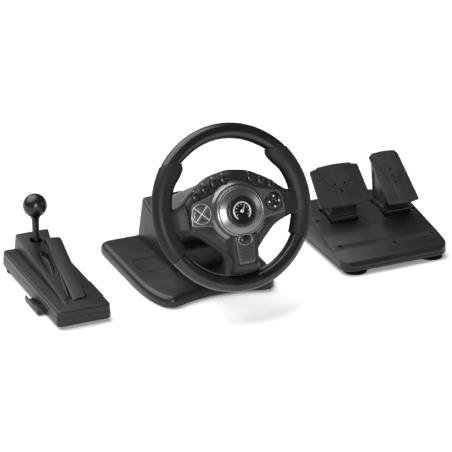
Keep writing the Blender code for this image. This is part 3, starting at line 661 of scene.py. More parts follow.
def make_base():
    outline = base_outline()
    plate = shell_of(outline, ((0.0, 3.0), (0.0, 9.5), (0.4, 12.6), (1.3, 15.0), (2.8, 16.9), (4.6, 18.2),
                               (6.6, 19.1), (8.4, 19.7), (10.2, 20.0)))
    groove = rounded(20.5, 112.0, 65.0, 164.0, 9.0)
    other = [(PLATE_WIDE - x, y) for x, y in groove][::-1]
    grooves = [boolean(prism(line, 19.0, 30), [prism(inset(line, 1.5), 18, 31)]) for line in (groove, other)]
    plate = boolean(plate, [crate((80.5, 105, 10), (148.5, 242, 30)), *grooves])
    piece("base_plate_shell", plate, BASE, "black", "wheel_base", ["base_plate"], 30)
    lip = boolean(slab(inset(outline, 0.2), 6.4, 7.1, 0.3, True), [prism(inset(outline, 2.0), 5, 9)])
    piece("base_parting_line", lip, BASE, "dark", "wheel_base")

    foot = rounded(69.5, 93, 159.5, 256, 8)
    head = rounded(74.5, 97, 154.5, 249, 8)
    rings = [level(foot, 20.2), level(foot, 22.5)]
    for t in (0.02, 0.3, 0.6, 0.9, 1.0):
        mixed = [(a[0] + (b[0] - a[0]) * t, a[1] + (b[1] - a[1]) * t) for a, b in zip(foot, head)]
        rings.append([(x, y, 24.0 + (column_top(x, y) - 5.0 - 24.0) * t) for x, y in mixed])
    rings += [draped(inset(head, d), column_top, -drop)
              for d, drop in ((0.35, 2.9), (1.2, 1.3), (2.4, 0.35), (4.0, 0.0))]
    inlet = rod(4.2, 240, 270, at=(100.0, 34.0), axis="Y")
    column = boolean(hollow(skin(rings, True)), [neck_shape(0.3), inlet])
    piece("column_shell", column, BASE, "black", "wheel_base", ["column_housing"], 32)
    neck = boolean(neck_shape(0.0), [neck_shape(-WALL), moved(rod(13.3, -60, -30), BASE.inverted() @ RIM)])
    piece("neck_shell", neck, BASE, "black", "wheel_base", ["steering_neck"], 32)
    collar = lathe([(23.0, -39.05), (23.0, -38.2), (22.4, -37.6), (15.6, -37.6), (15.0, -38.2),
                    (15.0, -39.05)], 72)
    piece("neck_collar", collar, RIM, "dark", "wheel_base", sharp=30)

    spots = ((86, 108, 8.6), (143, 108, 8.6), (86, 240, 8.6), (143, 240, 8.6))
    piece("base_screws", screws(3.4, spots, True), BASE, "steel", "wheel_base", sharp=30)
    cups("base", BASE, ((40, 62), (189, 62), (30, 231), (199, 231)), 8.6, 20.0, "wheel_base")


def neck_shape(grow):
    """The sloping housing between the column and the wheel."""
    back = Vector((math.cos(RIM_TILT), -math.sin(RIM_TILT)))
    up = Vector((math.sin(RIM_TILT), math.cos(RIM_TILT)))
    face = 6.0 if grow < 0 else 0.0
    centre = Vector((RIM_Y, RIM_Z)) + back * (face + 39.0)
    top = (centre + up * (48 + grow), Vector((230.0, 85.0)) + up * grow)
    low = (centre - up * (33 + grow), Vector((144.0, 41.0)) - up * grow)
    rings = []
    for t in (0.0, 0.004, 0.012, 0.1, 0.35, 0.7, 1.0):
        t = t * (1.1 if grow < 0 else 1.0)
        trim = 0.0 if grow else 2.0 * max(0.0, 1 - t / 0.012)
        a, b = top[0].lerp(top[1], t), low[0].lerp(low[1], t)
        half = 33 + 2.0 * t + grow - trim
        ring = []
        for x, v in rounded(-half, -half, half, half, 12.0 + min(grow, 0), 8):
            spot = b.lerp(a, (v + half + trim) / (2 * (half + trim)))
            ring.append((MIDDLE_X + x, spot.x, spot.y))
        rings.append(ring)
    return skin(rings)


def cups(word, where, spots, height, r, body):
    """Rubber suction cups: thin bells with a pull tab."""
    profile = [(0, height), (4.4, height), (5.0, height - 0.5), (5.4, height - 1.0), (7.0, height - 1.6),
               (r * 0.45, height * 0.62), (r * 0.62, height * 0.42), (r * 0.8, height * 0.26),
               (r * 0.93, 1.6), (r - 0.3, 0.9), (r, 0.35), (r - 0.1, 0.0), (r - 2.5, 0.0), (r * 0.8, 0.5),
               (r * 0.55, 1.4), (r * 0.3, height * 0.38), (0, height * 0.42)]
    for i, (x, y) in enumerate(spots, 1):
        tab = slab(rounded(x + r * 0.9 - 4, y - 3.0, x + r * 0.9 + 2.0, y + 3.0, 1.4), 0.6, 1.7, 0.4)
        piece("%s_cup_%d" % (word, i), join(lathe(profile, 80, (x, y, 0)), tab), where, "rubber", body,
              ["%s_suction_cup_%d" % (word, i)], 40)


def screw(r, depth):
    """A pan-head screw with a cross recess, its head upwards from z 0."""
    head = lathe([(0, 0), (r, 0), (r, depth * 0.35), (r * 0.9, depth * 0.7), (r * 0.65, depth * 0.93),
                  (0, depth)], 32)
    arms = [crate((-a, -b, depth * 0.35), (a, b, depth * 2))
            for a, b in ((r * 0.55, r * 0.11), (r * 0.11, r * 0.55))]
    return boolean(head, arms)


def screws(radius, spots, upside_down=False, depth=1.2):
    turn = Matrix.Rotation(math.pi, 4, "X") if upside_down else Matrix()
    return join(*[moved(screw(radius, depth), Matrix.Translation(spot) @ turn) for spot in spots])


# Rim and grips

def rim_ring(a, skew, outer, inner, side, count, lessen=0.0):
    """A section of the rim at an angle in degrees; skew 1 lays it level, as the grips' upper seams are."""
    level_at = 0.0 if a < 90 else 180.0
    heading = math.radians(a + (level_at - a) * skew)
    stretch = 1.0 / math.cos(heading - math.radians(a))
    ring = []
    for i in range(count):
        phi = 2 * math.pi * i / count
        reach = math.cos(phi) * ((outer if math.cos(phi) > 0 else inner) - lessen) * stretch
        x = RIM_R * math.cos(math.radians(a)) + reach * math.cos(heading)
        y = RIM_R * math.sin(math.radians(a)) + reach * math.sin(heading)
        ring.append((x, y, (side - lessen) * math.sin(phi)))
    return ring


def rim_part(start, end, section, round_off, steps, count, skew_start, skew_end):
    """Sweeps a section round the rim, its two ends rounded off by a small radius."""
    near = [0.0, 0.03, 0.13, 0.3, 0.55, 0.8, 1.0]
    ends = [math.degrees(n * round_off / RIM_R) for n in near]
    angles = [start + e for e in ends]
    angles += [start + ends[-1] + (end - start - 2 * ends[-1]) * i / steps for i in range(1, steps)]
    angles += [end - e for e in reversed(ends)]
    rings = []
    for a in angles:
        edge = math.radians(min(a - start, end - a)) * RIM_R / round_off
        lessen = round_off * (1 - math.sqrt(max(0.0, 1 - (1 - min(edge, 1.0)) ** 2)))
        skew = max(skew_start * (1 - ease((a - start) / 18)), skew_end * (1 - ease((end - a) / 18)))
        outer, inner, side = section(a)
        rings.append(rim_ring(a, skew, outer, inner, side, count, lessen))
    return skin(rings)


def grip_inside(a):
    """The section's reach towards the hub: a palm swell that fades out at the upper seam."""
    palm = (4.0 + 1.5 * ease((a - GRIP_FROM) / 10)) * ease((SEAM - a) / 5)
    return GRIP_R + palm + 3.0 * bell(a, 34.0, 5.0)


def tube_section(a):
    return TUBE_R, TUBE_R, TUBE_R


def grip_section(a):
    return GRIP_R, grip_inside(a), GRIP_R


# Each grip's web towards the hub: (x, lowest y, highest y, back, front).
GRIP_WEB = ((82.0, -30.3, 21.6, -12.6, 17.2), (84.0, -30.0, 20.0, -12.8, 16.4),
            (88.0, -29.0, 17.2, -12.8, 14.6), (93.0, -27.6, 14.6, -12.4, 12.8),
            (98.0, -26.8, 12.8, -12.0, 11.6), (104.0, -26.4, 12.4, -11.5, 11.0),
            (112.0, -26.0, 14.0, -10.5, 10.5), (120.0, -24.0, 14.0, -9.0, 9.0))


def make_rim():
    upper = rim_part(SEAM + SLIT, 180 - SEAM - SLIT, tube_section, 0.9, 80, 56, 1.0, 1.0)
    piece("rim_upper_tube", upper, RIM, "gloss", WHEEL, ["rim_upper"], 60)
    lower = rim_part(180 - GRIP_FROM + SLIT, 360 + GRIP_FROM - SLIT, tube_section, 0.9, 90, 56, 0.0, 0.0)
    piece("rim_lower_tube", lower, RIM, "gloss", WHEEL, ["rim_lower"], 60)
    core = TUBE_R - 1.1
    sleeves = [skin([rim_ring(at + d, skew, core, core, core, 48) for d in (-1.2, -0.6, 0.0, 0.6, 1.2)])
               for at, skew in ((SEAM, 1.0), (180 - SEAM, 1.0), (GRIP_FROM, 0.0), (180 - GRIP_FROM, 0.0))]
    piece("rim_seam_sleeves", join(*sleeves), RIM, "dark", WHEEL, sharp=40)
    for side, word in SIDES:
        grip = rim_part(GRIP_FROM, SEAM, grip_section, 1.2, 70, 48, 0.0, 1.0)
        web = skin([[(x, y, z) for y, z in rounded(low, back, high, front, 6.5, 7)]
                    for x, low, high, back, front in GRIP_WEB])
        grip = melted(join(grip, web), 0.95, 5)
        if side < 0:
            grip = mirror_x(grip)
        piece(word + "_grip_cover", grip, RIM, "rubber", WHEEL, [word + "_grip"], 60)


# Hub

def hub_outline():
    top = curve_through([(0, 60), (30, 54.5), (50, 45), (68, 34), (84, 20.5), (101, 11.5)], 7)
    side = curve_through([(101, -27), (82, -31), (64, -38.5), (48, -52), (34, -66), (25, -78), (23.5, -90),
                          (26.2, -105.3)], 7)
    bottom = arc(0, 0, HUB_REACH, HUB_REACH, -80, -90, 5)
    return dense(mirrored(top + side + bottom), 5.0)


OUTLINE = hub_outline()
# The front's rounded edge: distance in from the outline, and height there.
EDGE_IN = (0.0, 0.4, 1.2, 2.6, 4.6, 7.0, 10.0, 14.0, 20.0, 30.0, 90.0)
EDGE_Z = (9.0, 10.1, 11.6, 13.4, 15.2, 16.8, 18.2, 19.3, 20.1, 20.5, 20.5)
# The same outline scaled, and the height it is at: the back's outside and its inside.
REAR_OUTSIDE = ((0.996, -9.9), (0.988, -11.3), (0.976, -12.5), (0.96, -13.4), (0.94, -13.9), (0.915, -14.0),
                (0.7, -14.0), (0.4, -14.0))
REAR_INSIDE = ((0.4, -11.8), (0.7, -11.8), (0.92, -11.7), (0.945, -10.8), (0.955, -8.6), (0.955, -0.15))
REAR_SCREWS = ((-68.0, 12.0), (68.0, 12.0), (-58.0, -28.0), (58.0, -28.0), (0.0, 48.0), (-16.0, -84.0),
               (16.0, -84.0))
FRONT_SCALES = (1.0, 0.996, 0.99, 0.98, 0.966, 0.948, 0.925, 0.9, 0.87, 0.84, 0.8, 0.76, 0.72, 0.68, 0.64,
                0.6, 0.55, 0.5, 0.44, 0.38, 0.32)
BADGE_R = (0.0, 8.0, 14.0, 19.0, 22.8, 23.4, 23.7)
BADGE_Z = (40.0, 39.98, 39.92, 39.84, 39.76, 39.4, 38.5)
DIAL_R = 14.2
DRUM_PROFILE = ((44.4, 22.2), (44.4, 23.4), (43.9, 24.6), (40.6, 31.9), (40.1, 32.8), (39.3, 33.4),
                (38.2, 33.7), (37.9, 33.6), (37.75, 32.9), (37.1, 32.9), (36.95, 33.9), (36.6, 34.3),
                (35.9, 34.7), (34.5, 35.2), (31.0, 36.3), (27.5, 37.4), (25.2, 38.0), (24.4, 38.0),
                (24.0, 37.5), (24.0, 35.0), (21.0, 35.0), (21.0, 31.5), (38.5, 30.0), (38.5, 22.2))
SKIRT_PROFILE = ((43.0, 16.5), (43.0, 27.0), (43.5, 27.8), (44.4, 27.2), (48.3, 22.0), (50.3, 18.4),
                 (50.3, 16.5))


def edge_distance(x, y):
    """How far (x, y) is from the hub's outline."""
    p = np.array((x, y))
    a = np.array(OUTLINE)
    b = np.roll(a, -1, 0)
    along = b - a
    t = np.clip(((p - a) * along).sum(1) / (along ** 2).sum(1), 0, 1)
    return float(np.linalg.norm(a + along * t[:, None] - p, axis=1).min())


def trim_face(x, y):
    crown = 0.9 * (x / 17.5) ** 2
    return 34.5 - 7.5 * (TRIM_TOP - y) / (TRIM_TOP - TRIM_BOTTOM) - crown


def hub_height(x, y):
    d = edge_distance(x, y)
    z = np.interp(d, EDGE_IN, EDGE_Z)
    cheek = trim_face(0, max(y, TRIM_BOTTOM)) - 1.6
    share = ease((29.5 - abs(x)) / 11.5) * ease((-33 - y) / 12) * ease((y + 106) / 12)
    band = 1.4 * ease((-20 - y) / 5) * ease((abs(x) - 30) / 12) * ease((d - 2.0) / 6)
    return z + max(0.0, cheek - z) * share - band


def hub_scaled(s):
    return scaled(OUTLINE, s, DRUM_Y)


def within_seams(bm):
    return boolean(bm, [crate((-SEAM_X, -120, -50), (SEAM_X, 80, 60))], "INTERSECT")


def trim_cutter():
    return prism(inset(trim_outline(), -0.3), 5, 60)


def strip_cutters(gap):
    return [prism(placed(inset(shape, -gap), at), 5, 60) for shape, at in strip_shapes()]


def make_hub_back():
    outer = [level(OUTLINE, -0.15), level(OUTLINE, -8.6)] + [level(hub_scaled(s), z) for s, z in REAR_OUTSIDE]
    rear = skin([level(hub_scaled(s), z) for s, z in REAR_INSIDE] + outer)
    added = [lathe([(24.0, -12.5), (24.0, -34.6), (22.8, -36.0), (14.0, -36.0), (14.0, -12.5)], 72)]
    for x in (-PADDLE_X, PADDLE_X):
        for low, high in ((-16.0, -10.3), (22.3, 28.0)):
            added.append(slab(rounded(x - 3.5, low, x + 3.5, high, 1.5, 5), PADDLE_Z - 3, -12, 0.5, True))
    cuts = [rod(12.0, -39, 0), *[rod(4.6, -16, -13.0, at) for at in REAR_SCREWS]]
    cuts += [slab(soften([(x - 1.1, 34), (x + 1.1, 34), (x + 1.1, 47), (x - 1.1, 47)], 1.0), -17, -10, 0.1)
             for x in (-16, -9.6, -3.2, 3.2, 9.6, 16)]
    rear = within_seams(boolean(boolean(rear, added, "UNION"), cuts))
    bmesh.ops.remove_doubles(rear, verts=rear.verts[:], dist=0.002)
    piece("hub_rear_cover", rear, RIM, "black", WHEEL, ["hub_rear_shell"], 32)
    heads = screws(3.6, [(*at, -12.9) for at in REAR_SCREWS], True)
    piece("hub_rear_screws", heads, RIM, "steel", WHEEL, sharp=30)


def make_hub_front():
    outer = [level(OUTLINE, 0.15), level(OUTLINE, 4.5)] + [draped(hub_scaled(s), hub_height)
                                                           for s in FRONT_SCALES]
    inner = [level(hub_scaled(0.95), 0.15)]
    inner += [draped(hub_scaled(s), hub_height, -2.2) for s in FRONT_SCALES if s < 0.95]
    cuts = [prism(inset(wing_outline(), -0.3), 10, 60), trim_cutter(), *strip_cutters(0.35)]
    for side in (1, -1):
        for y in (-29.5, -29.5 - 4.2):
            slit = [(side * 47, y - 2.0), (side * 70, y + 2.2), (side * 70, y + 3.2), (side * 47, y - 0.9)]
            cuts.append(prism(slit[::side], 15.5, 40))
    front = within_seams(boolean(skin(inner[::-1] + outer), cuts))
    return piece("hub_front_cover", front, RIM, "satin", WHEEL, ["hub_front_shell"], 32)


def make_wings():
    wing = wing_outline()
    rings = [draped(inset(wing, d), wing_height, -drop)
             for d, drop in ((0.0, 6.5), (0.0, 1.1), (0.12, 0.6), (0.4, 0.25), (0.9, 0.05), (1.5, 0.0))]
    rings += [draped(scaled(inset(wing, 1.5), s), wing_height)
              for s in (0.94, 0.88, 0.8, 0.72, 0.64, 0.56, 0.48, 0.4)]
    cuts = [prism(placed(inset(wedge_shape(k), -0.75), XPAD), 5, 60) for k in range(4)]
    panel = boolean(skin(rings), cuts + [rod(14.8, 5, 60, DPAD, 72), trim_cutter()])
    hoop = lathe([(15.5, 20.0), (15.5, 24.8), (15.7, 25.1), (16.1, 25.1), (16.3, 24.8), (16.3, 20.0)], 96)
    bars = [moved(slab([(-15.9, -0.9), (15.9, -0.9), (15.9, 0.9), (-15.9, 0.9)], 20.0, 25.3, 0.2, True),
                  spun(turn)) for turn in (45, 135)]
    cross = moved(boolean(hoop, bars, "UNION"), shift(*XPAD))
    piece("action_pad_frame", cross, RIM, "bright", WHEEL, sharp=30)
    piece("wing_cover", panel, RIM, "silver", WHEEL, ["wing_panel"], 30)
    ring = lathe([(16.3, 22.6), (16.3, 23.9), (16.0, 24.25), (15.5, 24.25), (15.2, 23.9), (15.2, 22.6)], 96)
    piece("direction_pad_ring", moved(ring, shift(*DPAD)), RIM, "grey", WHEEL, sharp=40)


def make_drum():
    drum = boolean(lathe(DRUM_PROFILE, 144, (0, DRUM_Y, 0)), [trim_cutter()])
    piece("hub_drum_cover", drum, RIM, "silver", WHEEL, ["hub_drum"], 30)
    skirt = boolean(lathe(SKIRT_PROFILE, 144, (0, DRUM_Y, 0)),
                    [trim_cutter(), rod(15.4, 5, 60, XPAD), rod(15.0, 5, 60, DPAD), *strip_cutters(0.8)])
    piece("hub_drum_skirt", skirt, RIM, "silver", WHEEL, sharp=40)
    badge = lathe([*zip(BADGE_R, BADGE_Z), (23.7, 35.3), (0, 35.3)], 120, (0, DRUM_Y, 0))
    piece("hub_badge_disc", badge, RIM, "gloss", WHEEL, ["hub_badge"], 50)


def wing_outline():
    top = curve_through([(0, 33), (30, 26.5), (55, 20.0), (75.5, 14.5)], 6)
    tail = [(78.2, 5.0), (80, -3), (80, -12), (79, -20), (60, -22.5), (44, -25.5), (20, -34), (0, -36)]
    half = top + curve_through(tail, 4)
    return soften_turn(dense(mirrored(half), 4.0))


def soften_turn(outline):
    """Evens out an outline's sharp turns by one pass of averaging."""
    count = len(outline)
    return [((outline[i - 1][0] + 2 * outline[i][0] + outline[(i + 1) % count][0]) / 4,
             (outline[i - 1][1] + 2 * outline[i][1] + outline[(i + 1) % count][1]) / 4) for i in range(count)]


def wing_height(x, y):
    return WING_Z - 0.9 * ((abs(x) - 45) / 36) ** 2 * (1 if abs(x) > 45 else 0)


def trim_outline():
    return [(-17.5, TRIM_TOP), (-14, TRIM_BOTTOM), (14, TRIM_BOTTOM), (17.5, TRIM_TOP)]


def make_emblem():
    """A plain generic mark on the badge: a dial with an open foot, short ticks and a needle."""
    path = arc(0, 0, DIAL_R, DIAL_R, -50, 230, 57)
    rings = [level(scaled(path, (DIAL_R + d) / DIAL_R), z)
             for d, z in ((-1.0, 0.0), (-1.0, 0.3), (-0.8, 0.4), (0.8, 0.4), (1.0, 0.3), (1.0, 0.0))]
    parts = [skin([[ring[i] for ring in rings] for i in range(len(path))])]
    for turn in range(-30, 211, 30):
        tick = slab(soften([(9.4, -0.5), (11.6, -0.5), (11.6, 0.5), (9.4, 0.5)], 0.3), 0.0, 0.4, 0.1)
        parts.append(moved(tick, spun(turn)))
    needle = slab(soften([(0, -1.2), (10.2, -0.35), (10.2, 0.35), (0, 1.2)], 0.3), 0.0, 0.4, 0.1)
    hub = lathe([(0, 0.45), (2.4, 0.45), (2.6, 0.3), (2.6, 0.0), (0, 0.0)], 48)
    parts.append(boolean(hub, [moved(needle, spun(55))], "UNION"))
    mark = moved(join(*parts), shift(0, DRUM_Y))
    for v in mark.verts:
        r = math.dist((v.co.x, v.co.y), (0, DRUM_Y))
        v.co.z += np.interp(r, BADGE_R, BADGE_Z) - 0.08
    piece("hub_badge_mark", mark, RIM, "bright", WHEEL, sharp=40)


def make_trim():
    outline = dense(soften(trim_outline(), 3.5), 2.5)
    rings = [level(outline, 17.0)]
    rings += [draped(inset(outline, d), trim_face, -drop)
              for d, drop in ((0.0, 1.6), (0.25, 0.9), (0.75, 0.35), (1.5, 0.0))]
    rings += [draped(scaled(inset(outline, 1.5), s, -69), trim_face) for s in (0.8, 0.6, 0.4, 0.2)]
    body = boolean(skin(rings), [prism(oval(0, OVAL_Y, 9.75, 6.35, 64), 5, 60)])
    piece("bottom_spoke_cover", body, RIM, "grey", WHEEL, ["bottom_spoke_trim"], 30)
    rings = []
    for grow, lift in ((3.6, -1.0), (3.5, 0.25), (3.0, 0.75), (2.2, 0.95), (1.3, 0.75), (0.75, 0.2),
                       (0.7, -1.0)):
        rings.append([(x, y, trim_face(0, y) + lift)
                      for x, y in oval(0, OVAL_Y, OVAL_RX + grow, OVAL_RY + grow, 72)])
    piece("start_button_ring", tube_of(rings), RIM, "silver", WHEEL, sharp=45)


# Buttons

def strip_shapes():
    shapes = []
    for side in (-1, 1):
        for i, (x, y) in enumerate(STRIP_BUTTONS):
            if side < 0 or i < 3:
                shapes.append((oval(0, 0, 5.6, 6.8, 48, -side * math.radians(28 - 7 * i)), (side * x, y)))
    return shapes


def wedge_shape(k):
    wedge = [(2.4, 0)] + arc(0, 0, 14.6, 14.6, -36, 36, 25)
    c, s = math.cos(k * math.pi / 2), math.sin(k * math.pi / 2)
    return dense(soften([(x * c - y * s, x * s + y * c) for x, y in wedge], 0.8, 3), 1.2)


def domed(outline, foot, top, rise, steps=9):
    """A button with a domed top; its centre is at the outline's own origin."""
    cx = sum(x for x, y in outline) / len(outline)
    cy = sum(y for x, y in outline) / len(outline)
    rings = [level(outline, foot), level(outline, top - rise)]
    for i in range(1, steps):
        a = math.pi / 2 * i / steps
        s = math.cos(a)
        rings.append([(cx + (x - cx) * s, cy + (y - cy) * s, top - rise + rise * math.sin(a))
                      for x, y in outline])
    return skin(rings)


def make_buttons(shell):
    names = ["left_button_%d" % i for i in (1, 2, 3, 4)] + ["right_button_%d" % i for i in (1, 2, 3)]
    tree = BVHTree.FromObject(shell, bpy.context.evaluated_depsgraph_get())
    bezels = []
    marks = []
    for name, (shape, at) in zip(names, strip_shapes()):
        top = 20.5 + 0.8 * (int(name[-1]) - 1)
        piece(name + "_cap", moved(domed(shape, 11.0, top, 2.3), shift(*at)), RIM, "gloss", name, [name], 50)
        rest = surface(tree, at[0], at[1] + 7.6)[0]
        rings = []
        for grow, lift in ((1.75, -1.6), (1.7, -0.05), (1.35, 0.4), (0.9, 0.45), (0.5, 0.15), (0.42, -1.6)):
            ring = []
            for x, y in inset(shape, -grow):
                z = surface(tree, at[0] + x * 1.12, at[1] + y * 1.12)[0]
                ring.append((at[0] + x, at[1] + y, (z if z else rest) + lift))
            rings.append(ring)
        bezels.append(tube_of(rings))
        spot = (at[0] + (0.5 if name[0] == "l" else -0.5), at[1] + 9.6)
        z, normal = surface(tree, *spot)
        if z:
            turn = Vector((0, 0, 1)).rotation_difference(normal).to_matrix().to_4x4()
            dot = lathe([(0, 0.12), (0.85, 0.12), (0.95, 0.05), (0.95, -0.3), (0, -0.3)], 24)
            marks.append(moved(dot, shift(*spot, z) @ turn))
    piece("strip_button_bezels", join(*bezels), RIM, "gloss", WHEEL, sharp=40)
    piece("strip_button_dots", join(*marks), RIM, "white", WHEEL, sharp=40)

    for k, word in enumerate(("right", "top", "left", "bottom")):
        wedge = stacked(wedge_shape(k), ((0, 11), (0, 24.1), (0.2, 24.7), (0.6, 25.1), (1.2, 25.3)))
        button = "action_button_" + word
        piece("action_cap_" + word, moved(wedge, shift(*XPAD)), RIM, "silver", button, [button], 35)

    pad = lathe([(0, 24.6), (3.6, 24.7), (4.6, 25.4), (7.0, 25.75), (10.5, 25.3), (13.0, 24.2), (13.8, 23.2),
                 (14.0, 22.0), (14.0, 11.0), (0, 11.0)], 96)
    arm = dense(soften([(3.9, -2.5), (10.4, -3.3), (12.2, -2.4), (12.6, 0), (12.2, 2.4), (10.4, 3.3),
                        (3.9, 2.5)], 1.2), 1.0)
    arms = [moved(slab(arm, 22.0, 26.45, 0.7), spun(turn)) for turn in QUARTERS]
    pad = moved(boolean(pad, arms, "UNION"), shift(*DPAD))
    piece("direction_pad_cap", pad, RIM, "gloss", "direction_pad", ["direction_pad"], 35)
    arrows = [moved(slab([(7.4, -1.7), (10.4, 0), (7.4, 1.7)], 26.2, 26.5, 0.05), shift(*DPAD) @ spun(turn))
              for turn in QUARTERS]
    piece("direction_pad_marks", join(*arrows), RIM, "white", "direction_pad", sharp=40)
    cap = domed(oval(0, OVAL_Y, OVAL_RX, OVAL_RY, 72), 11.0, 36.4, 2.2)
    piece("start_button_cap", cap, RIM, "gloss", "start_button", ["start_button"], 50)


def surface(tree, x, y):
    """The height and normal of a piece's surface over (x, y) in the rim's frame."""
    back = RIM.inverted()
    start = RIM @ Vector((x, y, 80))
    way = (RIM @ Vector((x, y, 0)) - start).normalized()
    hit, normal, index, far = tree.ray_cast(start, way)
    if hit is None:
        return None, None
    return (back @ hit).z, (back.to_3x3() @ normal).normalized()


def make_paddles():
    blade = [(0, -10), (5, -10), (9, -13), (30, -16), (45, -15), (50, -8), (49, 8), (42, 20), (24, 31),
             (12, 30), (5, 20), (0, 20)]
    rib = [(9, -6), (30, -11), (44, -10), (45, 5), (38, 16), (23, 25), (13, 24), (9, 12)]
    for side, word in SIDES:
        bm = boolean(slab(dense(soften(blade, 6.0), 3.0), -1.5, 1.5, 0.9, True),
                     [slab(dense(soften(rib, 3.0), 3.0), -2.1, -1.2, 0.5, True),
                      rod(3.0, -10.0, 22.0, axis="Y")], "UNION")
        bm = moved(bm, shift(PADDLE_X, 0, PADDLE_Z))
        if side < 0:
            bm = mirror_x(bm)
        piece(word + "_paddle_blade", bm, RIM, "dark", word + "_paddle", [word + "_paddle"], 32)


# Pedal unit

PEDALS_WIDE = 199.0
BRAKE_X = 58.0
GAS_X = 155.5
AXLE = (142.0, 33.0)
ARM_HALF = 24.5
PAD_BEND = 0.0007


def pedal_top(y):
    return 25.0 + 0.215 * (min(max(y, 18.0), 140.0) - 18.0)


def side_slab(outline, low, high, radius):
    """An outline of (y, z) drawn out along X with rounded ends."""
    return moved(slab(outline, low, high, radius, True),
                 Matrix(((0, 0, 1, 0), (1, 0, 0, 0), (0, 1, 0, 0), (0, 0, 0, 1))))


def ridge(path, half, height, foot=-1.5, steps=7):
    """A rounded rib along a path of (x, y, z), or a groove's cutter when it is turned upside down."""
    rings = []
    for i, p in enumerate(path):
        before = Vector(path[max(i - 1, 0)])
        after = Vector(path[min(i + 1, len(path) - 1)])
        side = Vector((-(after - before).y, (after - before).x, 0)).normalized()
        ring = [Vector(p) + side * half + Vector((0, 0, foot))]
        for k in range(steps):
            a = math.pi * k / (steps - 1)
            ring.append(Vector(p) + side * half * math.cos(a) + Vector((0, 0, height * math.sin(a))))
        ring.append(Vector(p) - side * half + Vector((0, 0, foot)))
        rings.append([tuple(v) for v in ring])
    return skin(rings)


PEDAL_SCREWS = ((18.0, 52.0), (112.0, 37.0), (186.0, 44.0), (187.0, 116.0), (13.0, 128.0))


def make_pedals():
    wide = rounded(0, 0, PEDALS_WIDE, 217, 22, 12)
    lower = shell_of(wide, ((0.35, 12.7), (0.0, 12.3), (0.0, 10.2), (0.5, 8.6), (1.6, 7.4), (3.2, 6.7),
                            (5.0, 6.5)))
    lower = boolean(lower, [rod(3.6, 200, 230, (100.0, 9.9), axis="Y")])
    piece("pedal_lower_shell", lower, PEDALS, "black", "pedal_unit", ["pedal_bottom_shell"], 32)

    profile = [(0, 13), (0, 16.2), (1.0, 18.4), (3.4, 21.0), (6.8, 23.1), (11, 24.3), (18, 25.0)]
    profile += [(y, pedal_top(y)) for y in range(30, 140, 10)]
    profile += [(137, 50.7), (143, 51.1), (150, 51.23), (207, 51.23), (212, 50.2), (215.6, 47.4), (217, 43),
                (217, 13)]
    block = skin([[(x, y, z) for y, z in profile] for x in (0.0, PEDALS_WIDE)])
    top = beveled(boolean(block, [stacked(wide, ((0.4, 5), (0.4, 30), (8, 60)))], "INTERSECT"), 2.6)
    roof = pedal_top(140) - 2.8
    inner = [(2.9, 4), (2.9, 15), (8, 20.5), (20, 22.2), (140, roof), (209, roof), (214.1, 42), (214.1, 4)]
    room = skin([[(x, y, z) for y, z in inner] for x in (5.0, PEDALS_WIDE - 5.0)])
    tools = [boolean(room, [stacked(wide, ((2.9, 0), (2.9, 30), (11, 61)))], "INTERSECT")]
    for x, front in ((BRAKE_X, 120.0), (GAS_X, 113.0)):
        tools.append(prism(rounded(x - ARM_HALF - 1.5, front - 6, x + ARM_HALF + 1.5, 168, 2.5, 5), 27, 93))
    tools += [rod(3.7, pedal_top(y) - 1.7, pedal_top(y) + 9, (x, y), 40) for x, y in PEDAL_SCREWS]
    u_line = [(92.5, 114.0)] + arc(103.5, 108.5, 9.5, 10.5, 170, 350, 18) + [(115.5, 113.0)]
    u_line = [(x, y, pedal_top(y) - 0.1) for x, y in curve_through(u_line, 2)]
    top = boolean(top, tools + [ridge(u_line, 0.55, 1.6, -0.55, 5)])
    piece("pedal_upper_shell", top, PEDALS, "black", "pedal_unit", ["pedal_top_shell"], 32)
    heads = screws(3.1, [(x, y, pedal_top(y) - 1.85) for x, y in PEDAL_SCREWS])
    piece("pedal_screws", heads, PEDALS, "gloss", "pedal_unit", sharp=30)

    brake = [(120, 28), (152, 24), (172, 28), (172, 32), (156, 44), (162, 112), (157, 116.8), (118, 82.3),
             (121, 60)]
    gas = [(113, 30), (152, 24), (172, 28), (172, 32), (156, 44), (168, 118), (164, 123.3), (104, 82.4),
           (110, 60)]
    for name, x, half, arm, pad in (("brake", BRAKE_X, 48.0, brake, ((112, 78), (165.2, 125.1))),
                                    ("gas", GAS_X, 29.0, gas, ((89.4, 73.5), (172.1, 129.8)))):
        body = name + "_pedal"
        shape = dense(soften(arm, 4.0), 3.0)
        made = side_slab(shape, x - ARM_HALF, x + ARM_HALF, 1.6)
        pocket = [(p[0] + (141 - p[0]) * 0.24, p[1] + (72 - p[1]) * 0.24) for p in shape if p[1] > 52]
        cuts = [side_slab(pocket, x + s - 6, x + s + 6, 0.8) for s in (-ARM_HALF - 4, ARM_HALF + 4)]
        cuts.append(rod(3.15, x - 30, x + 30, AXLE, axis="X"))
        made = boolean(made, cuts)
        piece(name + "_arm_body", made, PEDALS, "gloss", body, [name + "_arm"], 32)
        front = arm[8][0]
        lip = side_slab(soften([(front - 3.0, 51.5), (front + 3, 50.5), (front + 3, 55.5),
                                (front - 2.6, 54.4)], 0.8), x - ARM_HALF + 0.6, x + ARM_HALF - 0.6, 0.8)
        piece(name + "_arm_lip", lip, PEDALS, "gloss", body, sharp=35)
        make_pad(name, x, half, pad, body)

    cups("pedal", PEDALS, ((31.0, 22.0), (173.0, 22.0)), 6.2, 20.5, "pedal_unit")
    foot = slab(rounded(25, 185, 174, 203, 5, 8), 0.0, 6.2, 0.6, True)
    grooves = [crate((20, y, -1), (180, y + 1.2, 0.7)) for y in (188, 191.5, 195, 198.5)]
    piece("pedal_rear_pad", boolean(foot, grooves), PEDALS, "rubber", "pedal_unit", ["pedal_rear_foot"], 35)


